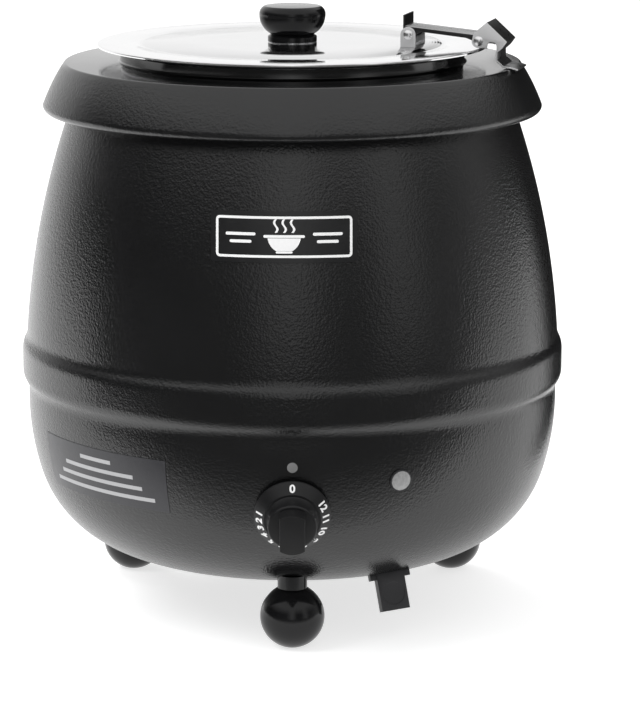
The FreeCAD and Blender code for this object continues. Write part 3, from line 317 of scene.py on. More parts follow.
def satin_plastic(name, tint, level=0.42):
    """Spark-eroded moulded plastic."""
    made, graph = new_finish(name)
    place = graph.place()
    spark = graph.noise(place, 2200.0, 2.0)
    broad = graph.noise(place, 80.0, 3.0)
    graph.surface({
        "Base Color": graph.shades(broad, shade(tint, 0.8), shade(tint, 1.25)),
        "Roughness": level + broad * 0.12,
        "IOR": 1.38,
        "Normal": graph.bump(spark, 0.00004),
    })
    return made


def mirror_steel(name, tint, ring):
    """Polished stainless sheet with faint rings and smears; its colour is painted a shade darker
    inside the ring and lighter outside it, a painted reflection of the rim's brighter band.
    """
    made, graph = new_finish(name)
    place = graph.place()
    across = graph.part(place, 0)
    along = graph.part(place, 1)
    radius = (across * across + along * along) ** 0.5
    # Painted reflection: the base colour steps from darker inside the lid's ring to lighter outside
    # it, standing in for the brighter reflection the rim band catches.
    band = graph.ramp((radius - ring) * 300 + 0.5, (0.0, 0.0), (1.0, 1.0))
    rings = graph.node("ShaderNodeTexWave", {"wave_type": "RINGS", "rings_direction": "Z"}, {
        "Vector": place, "Scale": 190.0, "Distortion": 1.2, "Detail": 2.0, "Detail Scale": 3.0})
    smear = graph.noise(graph.stretched(place, (1.0, 2.2, 1.0)), 22.0, 5.0, 0.65)
    sheen = graph.ramp(smear, (0.35, 0.0), (0.75, 1.0))
    graph.surface({
        "Base Color": graph.shades(band * 0.8 + sheen * 0.2, shade(tint, 0.82), shade(tint, 1.03)),
        "Metallic": 1.0,
        "Roughness": 0.05 + sheen * 0.05 + rings * 0.02,
        "Normal": graph.bump(rings + smear * 0.6, 0.000012),
    })
    return made


def satin_steel(name, tint, grain, level=0.30, metallic=1.0):
    """Ground stainless: fine scratches drawn out along one direction."""
    made, graph = new_finish(name)
    place = graph.place()
    scratch = graph.noise(graph.stretched(place, grain), 420.0, 3.0, 0.7)
    broad = graph.noise(place, 70.0, 3.0)
    graph.surface({
        "Base Color": graph.shades(broad, shade(tint, 0.88), shade(tint, 1.06)),
        "Metallic": metallic,
        "Roughness": level - 0.08 + scratch * 0.16 + broad * 0.06,
        "Normal": graph.bump(scratch, 0.00002),
    })
    return made


def plated_metal(name, tint, level=0.36):
    """Plain plated or cast metal, mottled."""
    made, graph = new_finish(name)
    place = graph.place()
    mottle = graph.noise(place, 260.0, 4.0, 0.6)
    graph.surface({
        "Base Color": graph.shades(mottle, shade(tint, 0.8), shade(tint, 1.1)),
        "Metallic": 1.0,
        "Roughness": level + mottle * 0.14,
        "Normal": graph.bump(mottle, 0.00003),
    })
    return made


def printed(name, tint, level=0.45):
    """Screen-printed ink with a slightly uneven film."""
    made, graph = new_finish(name)
    place = graph.place()
    film = graph.noise(place, 520.0, 3.0)
    graph.surface({
        "Base Color": graph.shades(film, shade(tint, 0.93), shade(tint, 1.04)),
        "Roughness": level + film * 0.1,
        "Normal": graph.bump(film, 0.00001),
    })
    return made


def clear_film(name, tint):
    """Label film: printed on the back, so its face keeps a soft gloss over faint bubbles."""
    made, graph = new_finish(name)
    place = graph.place()
    bubbles = graph.noise(place, 150.0, 3.0, 0.55)
    fine = graph.noise(place, 650.0, 2.0)
    graph.surface({
        "Base Color": graph.shades(bubbles, shade(tint, 0.85), shade(tint, 1.2)),
        "Roughness": 0.24 + bubbles * 0.16,
        "Normal": graph.bump(bubbles * 0.6 + fine * 0.4, 0.00012),
    })
    return made


def lamp_glass(name, tint):
    """Moulded translucent lens, faceted inside, unlit."""
    made, graph = new_finish(name)
    place = graph.place()
    facets = graph.node("ShaderNodeTexVoronoi", {"feature": "F1"}, {
        "Vector": place, "Scale": 900.0})
    graph.surface({
        "Base Color": graph.shades(facets, shade(tint, 1.25), shade(tint, 0.75)),
        "Roughness": 0.22 + facets * 0.1,
        "IOR": 1.49,
        "Normal": graph.bump(facets, 0.00005),
    })
    return made


def make_finishes():
    """Every finish by the name its pieces ask for."""
    tints = colours()
    smooth_above = sizes().collar_top - 1.2 * MM
    return {
        "coat": powder_coat("powder_coat_black", tints.coat, smooth_above),
        "phenolic": gloss_black("phenolic_polished", tints.phenolic),
        "dial": satin_plastic("dial_moulding", tints.dial, 0.30),
        "mirror": mirror_steel("lid_steel_polished", tints.steel, sizes().lid_ring),
        "pot": satin_steel("pot_steel_satin", shade(tints.pressed, 1.02), (1.0, 1.0, 9.0), 0.26),
        "clip": satin_steel("clip_steel_ground", tints.pressed, (1.0, 1.0, 7.0), 0.36, 0.45),
        # Painted shade: the arm's top gets the hinge steel at a mid shade, and its flanges and tab
        # a near-black copy of it, for the shade they sit in.
        "arm": satin_steel("arm_steel_painted_mid_shade", shade(tints.pressed, 0.62), (0.15, 1.0, 1.0), 0.24),
        "fold": satin_steel("fold_steel_painted_shade", shade(tints.pressed, 0.09), (1.0, 0.3, 1.0), 0.30),
        # Painted shade: the clip's web and edges get a darker copy of the same pressed steel as its
        # plates.
        "strip": satin_steel("strip_steel_painted_shade", shade(tints.pressed, 0.30), (1.0, 0.3, 1.0), 0.26),
        "rivet": plated_metal("rivet_steel", shade(tints.steel, 0.98), 0.18),
        "zinc": plated_metal("zinc_plate", tints.zinc),
        "white": printed("print_white", tints.print_white),
        "label_print": printed("print_label", tints.label_print),
        "film": clear_film("label_film", tints.label_film),
        "badge": clear_film("badge_face", shade(tints.phenolic, 1.2)),
        "lens": lamp_glass("lamp_lens_unlit", tints.lens),
        "dot": printed("dot_paint", tints.dot, 0.3),
        "nylon": satin_plastic("nylon_moulding", tints.nylon, 0.45),
        "rubber": satin_plastic("silicone_red", tints.rubber, 0.6),
        "aluminium": plated_metal("aluminium_cast", tints.aluminium, 0.42),
        "sheath": plated_metal("sheath_dark", tints.sheath, 0.45),
        "copper": plated_metal("copper_tube", tints.copper, 0.25),
    }


FINISHES = {}


def finish_of(name):
    if not FINISHES:
        FINISHES.update(make_finishes())
    return FINISHES[name]


# ---- Modelling by hand ----------------------------------------------------------------------

def clear_selection():
    if bpy.context.object and bpy.context.object.mode != "OBJECT":
        bpy.ops.object.mode_set(mode="OBJECT")
    bpy.ops.object.select_all(action="DESELECT")


def choose(piece):
    clear_selection()
    piece.select_set(True)
    bpy.context.view_layer.objects.active = piece


def begin(name):
    """Name the primitive just added and open it for editing, all of it selected."""
    piece = bpy.context.object
    piece.name = name
    piece.data.name = name
    bpy.ops.object.mode_set(mode="EDIT")
    bpy.ops.mesh.select_all(action="SELECT")
    return piece


def close_edit():
    bpy.ops.object.mode_set(mode="OBJECT")
    return bpy.context.object


def start_point(name, point):
    """A mesh of one vertex, collapsed from a plane."""
    clear_selection()
    bpy.ops.mesh.primitive_plane_add(size=MM, location=(0, 0, 0))
    piece = begin(name)
    bpy.ops.mesh.merge(type="CENTER")
    bpy.ops.transform.translate(value=point)
    return piece


def extrude_through(points):
    """Carry the selected vertex along a chain of points."""
    for before, after in zip(points, points[1:]):
        step = tuple(b - a for a, b in zip(before, after))
        bpy.ops.mesh.extrude_vertices_move(TRANSFORM_OT_translate={"value": step})


def tidy_shell():
    """Join doubled points and turn the faces outwards."""
    bpy.ops.mesh.select_all(action="SELECT")
    bpy.ops.mesh.remove_doubles(threshold=0.004 * MM)
    bpy.ops.mesh.normals_make_consistent(inside=False)


def lathe(name, outline, steps=AROUND, wall=0.0):
    """Turn an outline of (radius, height) points about Z; an open one gets its wall inwards."""
    points = [(radius, 0, height) for radius, height in outline]
    piece = start_point(name, points[0])
    extrude_through(points)
    bpy.ops.mesh.select_all(action="SELECT")
    bpy.ops.mesh.spin(steps=steps, angle=2 * pi, center=(0, 0, 0), axis=(0, 0, 1))
    tidy_shell()
    close_edit()
    if wall:
        thicken(piece, wall)
    return smooth(piece)


def modify(piece, kind, **settings):
    """Add a modifier, set it and apply it."""
    choose(piece)
    made = piece.modifiers.new(kind.title(), kind)
    for name, value in settings.items():
        setattr(made, name, value)
    bpy.ops.object.modifier_apply(modifier=made.name)
    return piece


def thicken(piece, wall):
    return modify(piece, "SOLIDIFY", thickness=wall, offset=-1, use_even_offset=True)


def soften(piece, width, segments=2, angle=30):
    """Round the piece's sharp edges."""
    return modify(piece, "BEVEL", width=width, segments=segments, limit_method="ANGLE",
                  angle_limit=radians(angle), use_clamp_overlap=True)


def smooth(piece, angle=32):
    choose(piece)
    bpy.ops.object.shade_smooth_by_angle(angle=radians(angle))
    return piece


def set_down(piece, matrix):
    """Carry a piece from the origin to its place, into its mesh."""
    choose(piece)
    piece.matrix_world = matrix
    bpy.ops.object.transform_apply(location=True, rotation=True, scale=True)
    return piece


def joined(name, pieces):
    """Join meshes into the first of them."""
    clear_selection()
    for piece in pieces:
        piece.select_set(True)
    bpy.context.view_layer.objects.active = pieces[0]
    bpy.ops.object.join()
    pieces[0].name = name
    return pieces[0]


def twin(piece, name):
    """A copy with a mesh of its own."""
    copy = piece.copy()
    copy.data = piece.data.copy()
    copy.name = name
    bpy.context.scene.collection.objects.link(copy)
    return copy


def refined(node, name, bevel, finish, slot):
    """A CAD node's shape, merged into clean faces, with its edges broken."""
    source = frame["nodes"][node]
    body = source["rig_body"]
    piece = twin(source, name)
    piece.parent = None
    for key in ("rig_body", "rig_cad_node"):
        del piece[key]
    choose(piece)
    begin(name)
    bpy.ops.mesh.remove_doubles(threshold=0.002 * MM)
    bpy.ops.mesh.dissolve_limited(angle_limit=radians(4))
    close_edit()
    modify(piece, "BEVEL", width=bevel, segments=2, limit_method="ANGLE", angle_limit=radians(35),
           use_clamp_overlap=True, miter_outer="MITER_ARC")
    smooth(piece, 38)
    return hand_over(piece, body, slot, finish, node)


def repaint(piece, finish, wanted):
    """Give another finish to the faces whose middle and normal pass a test."""
    piece.data.materials.append(finish_of(finish))
    for face in piece.data.polygons:
        if wanted(face.center, face.normal):
            face.material_index = len(piece.data.materials) - 1


def hand_over(piece, body, slot, finish, *replaced):
    """Finish a piece: its material, the body it rides on and what it stands for."""
    piece.data.materials.clear()
    piece.data.materials.append(finish_of(finish))
    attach(piece, body)
    if replaced:
        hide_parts(*replaced)
    return piece


# ---- Outlines and frames --------------------------------------------------------------------

def arc(centre, radius, start, end, count):
    """Points of an arc, angles in degrees, both ends included."""
    turn = [radians(start + (end - start) * step / count) for step in range(count + 1)]
    return [(centre[0] + radius * cos(angle), centre[1] + radius * sin(angle)) for angle in turn]


def arc_through(start, end, radius, count):
    """Points after start along the arc to end: left-turning for a plus radius."""
    start, end = Vector(start), Vector(end)
    chord = end - start
    reach = sqrt(max(radius * radius - chord.length_squared / 4, 0.0))
    left = Vector((-chord.y, chord.x)).normalized()
    centre = (start + end) / 2 + left * (reach if radius > 0 else -reach)
    first = atan2(*reversed(start - centre))
    last = atan2(*reversed(end - centre))
    turn = (last - first + pi) % (2 * pi) - pi
    angles = [first + turn * step / count for step in range(1, count + 1)]
    return [(centre.x + abs(radius) * cos(a), centre.y + abs(radius) * sin(a)) for a in angles]


def upper_side(height):
    """Radius of the barrel's side above the bead."""
    s = sizes()
    return s.barrel_radius - s.upper_arc + sqrt(s.upper_arc ** 2 - (height - s.widest_height) ** 2)


def low_circle():
    """Centre radius, centre height and arc of the side below the bead."""
    s = sizes()
    rise = (s.lower_arc - s.corner_arc) * sin(s.corner_slope)
    height = CASING_LOW.z + s.corner_arc + rise
    return s.barrel_radius - s.lower_inset - s.lower_arc, height, s.lower_arc


def lower_side(height):
    centre, level, reach = low_circle()
    return centre + sqrt(reach ** 2 - (height - level) ** 2)


def bead_ramp(foot, crown, count=6):
    """Two equal arcs that carry the side from foot to crown, or back."""
    run, rise = abs(crown[1] - foot[1]), abs(crown[0] - foot[0])
    bend = (run ** 2 + rise ** 2) / (4 * rise)
    middle = ((foot[0] + crown[0]) / 2, (foot[1] + crown[1]) / 2)
    turn = -bend if crown[0] > foot[0] else bend
    return arc_through(foot, middle, turn, count) + arc_through(middle, crown, -turn, count)


def casing_outline():
    """The casing's outer outline, from under the base to the top edge."""
    s = sizes()
    centre, level, reach = low_circle()
    corner_x = centre + (reach - s.corner_arc) * cos(s.corner_slope)
    corner_z = CASING_LOW.z + s.corner_arc
    low_foot = s.bead_height - s.bead_crown / 2 - s.bead_ramp
    high_foot = s.bead_height + s.bead_crown / 2 + s.bead_ramp
    feet = (lower_side(low_foot), low_foot), (upper_side(high_foot), high_foot)
    crowns = [(s.bead_radius, s.bead_height + side * s.bead_crown / 2) for side in (-1, 1)]
    slope = -degrees(s.corner_slope)
    top_slope = degrees(asin((low_foot - level) / reach))
    base_flange = 11 * MM
    outline = [(corner_x - base_flange, CASING_LOW.z)]
    outline += arc((corner_x, corner_z), s.corner_arc, -90, slope, 28)
    outline += arc((centre, level), reach, slope, top_slope, 22)[1:]
    outline += bead_ramp(feet[0], crowns[0]) + [crowns[1]]
    outline += bead_ramp(crowns[1], feet[1])
    count = 34
    rise = CASING_HIGH.z - high_foot
    outline += [(upper_side(high_foot + rise * n / count), high_foot + rise * n / count)
                for n in range(1, count + 1)]
    return outline + [(s.well_radius, CASING_HIGH.z)]


def collar_outline():
    """The collar's outer outline, from the neck's top to under its foot."""
    s = sizes()
    foot_round, edge_round = 3.6 * MM, 1.6 * MM
    foot = COLLAR_LOW.z
    drop = s.collar_top - foot
    lean = atan2(s.collar_foot_radius - s.collar_radius, drop - foot_round)
    cut = edge_round * sin(pi / 4 - lean / 2) / cos(pi / 4 - lean / 2)
    edge = [(s.collar_radius - cut, s.collar_top),
            (s.collar_radius + cut * sin(lean), s.collar_top - cut * cos(lean))]
    skirt_end = (s.collar_foot_radius, foot + foot_round)
    outline = [(s.neck_radius, COLLAR_HIGH.z), (s.neck_radius, s.collar_top + edge_round)]
    outline += arc_through(outline[-1], (s.neck_radius + edge_round, s.collar_top), edge_round, 5)
    outline += [edge[0]] + arc_through(edge[0], edge[1], -edge_round, 6)
    outline += arc_through(edge[1], skirt_end, -drop * 4, 14)
    outline += arc_through(skirt_end, (s.collar_foot_radius - foot_round, foot), -foot_round, 8)
    clearance = 0.3 * MM
    return outline + [(upper_side(foot) + clearance, foot)]


def skin_frame(side, height):
    """A frame on the lower body: Z leaves the casing, X runs level to the right."""
    centre, level, reach = low_circle()
    dip = asin((level - height) / reach)
    out = Vector((sin(side), -cos(side), 0))
    normal = out * cos(dip) - Vector((0, 0, sin(dip)))
    base = out * (centre + reach * cos(dip)) + Vector((0, 0, height))
    return axes_frame(base, Vector((cos(side), sin(side), 0)), normal)


def axes_frame(base, right, normal):
    up = normal.cross(right)
    turn = Matrix((right, up, normal)).transposed()
    return Matrix.Translation(base) @ turn.to_4x4()


def dial_frame():
    """The dial's frame on its joint: Z out along the spindle, X to the right."""
    joint = JOINTS["dial_turn"]
    out = -Vector(joint["axis"]).normalized()
    return axes_frame(Vector(joint["pos_m"]), Vector((1, 0, 0)), out)


def pin_frame(joint_name):
    """A hinge pin's frame: Z along the pin."""
    joint = JOINTS[joint_name]
    along = Vector(joint["axis"]).normalized()
    right = Vector((0, 0, 1)).cross(along).normalized()
    return axes_frame(Vector(joint["pos_m"]), right, along)


# ---- Pieces ---------------------------------------------------------------------------------

class KettlePiece:
    """What every operator of the kettle shares."""
    bl_options = {"REGISTER", "UNDO"}

    def execute(self, context):
        self.model()
        return {"FINISHED"}


class KETTLE_OT_casing(KettlePiece, bpy.types.Operator):
    """Spin the barrel casing with its rounded corner and pressed bead"""
    bl_idname = "kettle.casing"
    bl_label = "Casing"

    def model(self):
        shell = lathe("kettle_casing", casing_outline(), wall=sizes().casing_wall)
        hand_over(shell, "housing", "powder_coat", "coat", "outer_casing")


class KETTLE_OT_collar(KettlePiece, bpy.types.Operator):
    """Spin the flared cover collar with the neck that carries the pot"""
    bl_idname = "kettle.collar"
    bl_label = "Collar"

    def model(self):
        collar = lathe("cover_collar", collar_outline(), wall=sizes().collar_wall)
        hand_over(collar, "housing", "powder_coat", "coat", "top_collar")


class KETTLE_OT_feet(KettlePiece, bpy.types.Operator):
    """Turn one ball foot and its spacer and stand copies on the foot circle"""
    bl_idname = "kettle.feet"
    bl_label = "Feet"

    def model(self):
        s = sizes()
        flat = 4 * MM
        middle = sqrt(s.ball_radius ** 2 - flat ** 2)
        low = -degrees(asin(middle / s.ball_radius))
        high = degrees(asin(sqrt(s.ball_radius ** 2 - s.foot_neck ** 2) / s.ball_radius))
        outline = [(0, 0)] + arc((0, middle), s.ball_radius, low, high, 36)
        neck = outline[-1][1]
        land, chamfer, sunk = 0.6 * MM, 0.5 * MM, 9.5 * MM
        outline += [(s.foot_neck - land, neck), (0, neck)]
        ball = smooth(lathe("foot_ball", outline, TRIM_AROUND))
        top = CASING_LOW.z + sunk
        post = [(0, neck), (s.foot_neck - chamfer, neck), (s.foot_neck, neck + chamfer),
                (s.foot_neck, top), (0, top)]
        spacer = lathe("foot_neck", post, TRIM_AROUND)
        for side, angle in (("front", -90), ("right", 30), ("left", 150)):
            turn = Matrix.Rotation(radians(angle), 4, "Z")
            place = turn @ Matrix.Translation((s.foot_circle, 0, 0))
            for source, name, slot, finish, node in (
                    (ball, "ball_foot_", "phenolic", "phenolic", "foot_ball_"),
                    (spacer, "neck_spacer_", "powder_coat", "phenolic", "foot_spacer_")):
                piece = set_down(twin(source, name + side), place)
                hand_over(piece, "housing", slot, finish, node + side)
        for source in (ball, spacer):
            bpy.data.objects.remove(source)


class KETTLE_OT_lid(KettlePiece, bpy.types.Operator):
    """Press the lid's sheet with its centring ring and hemmed rim"""
    bl_idname = "kettle.lid"
    bl_label = "Lid"

    def model(self):
        s = sizes()
        top = HANDLE_LOW.z
        hem = s.lid_sheet * 1.2
        half, drop = 3 * MM, 0.7 * MM
        floor = half - drop * 2
        ring = [(s.lid_ring - half, top), (s.lid_ring - floor, top - drop),
                (s.lid_ring + floor, top - drop), (s.lid_ring + half, top)]
        rim = (s.lid_radius - hem, top)
        edge = arc_through(rim, (s.lid_radius, top - hem), -hem, 6)
        screw_hole, support = 2.5 * MM, (20 * MM, 52 * MM, 100 * MM)
        outline = [(screw_hole, top), (support[0], top), (support[1], top)] + ring
        outline += [(support[2], top), rim] + edge + [(s.lid_radius, top - s.lid_edge)]
        plate = lathe("lid_plate", outline, wall=s.lid_sheet)
        hand_over(plate, "lid", "lid_steel", "mirror", "lid_disc")


class KETTLE_OT_handle(KettlePiece, bpy.types.Operator):
    """Turn the lid's black handle"""
    bl_idname = "kettle.handle"
    bl_label = "Lid handle"

    def model(self):
        s = sizes()
        low, high = HANDLE_LOW.z, HANDLE_HIGH.z
        foot, top, chamfer, crown = 14.4 * MM, 16 * MM, 0.4 * MM, 5 * MM
        neck = foot - 1.8 * MM
        land = low + 3.3 * MM
        shoulder = high - crown
        waist = low + 4.6 * MM
        run, rise = s.handle_radius - neck, shoulder - waist
        lip = s.handle_radius - top
        flare = (run ** 2 + rise ** 2) / (2 * run)
        dome = (lip ** 2 + crown ** 2) / (2 * lip)
        outline = [(0, low), (foot - chamfer, low), (foot, low + chamfer), (foot, land),
                   (foot - chamfer, land + chamfer), (neck, waist)]
        outline += arc_through(outline[-1], (s.handle_radius, shoulder), flare, 12)
        outline += arc_through(outline[-1], (top + 1 * MM, high - 0.35 * MM), dome, 12)
        outline += arc_through(outline[-1], (top, high), 1.6 * MM, 3) + [(0, high)]
        knob = lathe("lid_knob", outline, 96)
        hand_over(knob, "lid", "phenolic", "phenolic", "lid_handle")
        # Painted reflection: the knob's lowest half-millimetre gets the bright rivet steel,
        # standing in for the light ring reflected at its foot.
        painted_highlight_rim = low + 0.5 * MM
        repaint(knob, "rivet", lambda at, way: at.z < painted_highlight_rim)


class KETTLE_OT_vessels(KettlePiece, bpy.types.Operator):
    """Draw the lift-out pot and the water well it stands in"""
    bl_idname = "kettle.vessels"
    bl_label = "Pot and well"

    WALL = 0.8 * MM

    def model(self):
        s = sizes()
        low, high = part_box("inner_pot")
        rim, lip = 1.7 * MM, s.pot_radius + 2.6 * MM
        side = [(s.pot_radius, low.z + (high.z - low.z) * n / 8) for n in range(1, 7)]
        side += [(s.pot_radius, high.z - 2 * rim), (lip, high.z - 2 * rim)]
        side += arc((lip, high.z - rim), rim, -90, 90, 10)[1:]
        side += [(s.pot_radius, high.z), (s.pot_radius - self.WALL, high.z - rim / 2)]
        pot = self.vessel("pot_liner", low.z, s.pot_radius, 20 * MM, side, AROUND)
        hand_over(pot, "pot", "pot_steel", "pot", "inner_pot")
        low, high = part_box("water_well")
        side = [(s.well_radius, CASING_HIGH.z), (high.x, CASING_HIGH.z), (high.x, high.z),
                (s.well_radius - self.WALL, high.z)]
        well = self.vessel("well_liner", low.z, s.well_radius, 24 * MM, side, 96)
        hand_over(well, "housing", "pot_steel", "pot", "water_well")

    def vessel(self, name, floor, radius, corner, side, steps):
        """A round vessel: its floor and rounded corner, then its side, rim and inside."""
        centre = (radius - corner, floor + corner)
        inside = arc(centre, corner - self.WALL, -90, 0, 12)
        outline = [(0, floor)] + arc(centre, corner, -90, 0, 12) + side
        outline += [(radius - self.WALL, centre[1])] + inside[-2::-1] + [(0, floor + self.WALL)]
        return lathe(name, outline, steps)


class KETTLE_OT_dial(KettlePiece, bpy.types.Operator):
    """Model the control dial with its coned skirt, boss and grip, and set its numbers"""
    bl_idname = "kettle.dial"
    bl_label = "Control dial"

    BAND = 1.6 * MM          # height of the skirt's upright band
    FILLET = 1.4 * MM        # run of the skirt's cone into the boss

    def model(self):
        s = sizes()
        gap, depth = 1.2 * MM, 25.5 * MM
        shelf, boss_top = depth * 0.3, depth * 0.66
        boss = s.dial_boss
        radius, chamfer, band = s.dial_radius, 0.3 * MM, gap + self.BAND
        outline = [(0, gap), (radius - chamfer, gap), (radius, gap + chamfer),
                   (radius, band - chamfer), (radius - chamfer, band),
                   (boss + self.FILLET, shelf), (boss + 0.2 * MM, shelf + 0.1 * MM),
                   (boss - 0.1 * MM, shelf + 0.5 * MM), (boss - 0.8 * MM, depth * 0.6)]
        outline += arc_through(outline[-1], (boss - 2 * MM, boss_top), 1.3 * MM, 5)
        outline += [(0, boss_top)]
        skirt = lathe("dial_skirt", outline, 128)
        clear_selection()
        bpy.ops.mesh.primitive_cylinder_add(
            vertices=96, radius=s.grip_length / 2, depth=depth - shelf,
            location=(0, 0, (depth + shelf) / 2))
        grip = begin("dial_grip")
        for side in (-1, 1):
            bpy.ops.mesh.select_all(action="SELECT")
            bpy.ops.mesh.bisect(plane_co=(side * s.grip_width / 2, 0, 0), plane_no=(side, 0, 0),
                                use_fill=True, clear_outer=True)
        close_edit()
        soften(grip, 0.7 * MM, 4, 50)
        dial = joined("control_dial", [smooth(skirt), smooth(grip)])
        set_down(dial, dial_frame())
        hand_over(dial, "dial", "dial_plastic", "dial", "control_knob")
        numbers = joined("dial_numbers", [self.number(n, shelf, gap) for n in range(13)])
        hand_over(numbers, "dial", "dial_plastic", "white")

    def number(self, count, shelf, gap):
        """One raised number on the skirt, its top outwards."""
        s = sizes()
        first, step, growth = 80.5, 13.5, 0.6
        after = count - 1
        angle = first + step * after + growth * after * (after - 1) if count else 0
        low = Vector((s.dial_radius, gap + self.BAND))
        high = Vector((s.dial_boss + self.FILLET, shelf))
        slope = atan2(high.y - low.y, low.x - high.x)
        middle = low.lerp(high, 0.56)
        clear_selection()
        bpy.ops.object.text_add(location=(0, 0, 0))
        text = bpy.context.object
        text.data.body = str(count)
        text.data.align_x = "CENTER"
        text.data.align_y = "CENTER"
        text.data.size = 6.3 * MM
        text.data.offset = 0.20 * MM
        text.data.extrude = 0.16 * MM
        bpy.ops.object.convert(target="MESH")
        text = bpy.context.object
        lean = Matrix.Rotation(-slope, 4, "X")
        place = Matrix.Translation((0, middle.x, middle.y)) @ lean
        return set_down(text, dial_frame() @ Matrix.Rotation(radians(angle), 4, "Z") @ place)


class KETTLE_OT_lamp(KettlePiece, bpy.types.Operator):
    """Model the indicator lamp's bezel and lens and the pointer dot above the dial"""
    bl_idname = "kettle.lamp"
    bl_label = "Lamp and dot"

    def model(self):
        s = sizes()
        place = skin_frame(s.lamp_bearing, s.lamp_height)
        radius, lip = s.lamp_radius, s.lamp_radius - 0.7 * MM
        barrel, tail, seat, top, cup = 4.6 * MM, -20 * MM, -1.3 * MM, 1.08 * MM, 0.4 * MM
        bezel = lathe("lamp_bezel", [
            (0, tail), (barrel, tail), (barrel, seat), (radius, seat), (radius, 0.8 * MM),
            (radius - 0.2 * MM, top), (lip + 0.1 * MM, top), (lip, 0.9 * MM), (lip, cup), (0, cup)],
            TRIM_AROUND)
        hand_over(set_down(bezel, place), "housing", "moulded_plastic", "nylon", "lamp_body")
        side = (lip - 0.05 * MM, 1.0 * MM)
        rise = 1.1 * MM
        crown, dome = (0, side[1] + rise), (lip ** 2 + rise ** 2) / (2 * rise)
        outline = [(0, cup), (side[0], cup), side] + arc_through(side, crown, dome, 10)
        lens = lathe("lamp_cap", outline, TRIM_AROUND)
        hand_over(set_down(lens, place), "housing", "lamp_lens", "lens", "lamp_lens")
        side, crown, back = (s.dot_radius, 0.1 * MM), (0, 0.38 * MM), -0.5 * MM
        outline = [(0, back), (side[0], back), side] + arc_through(side, crown, 15 * MM, 6)
        dot = lathe("index_dot", outline, TRIM_AROUND)
        set_down(dot, skin_frame(0, s.dot_height))
        hand_over(dot, "housing", "dot_paint", "dot", "pointer_dot")


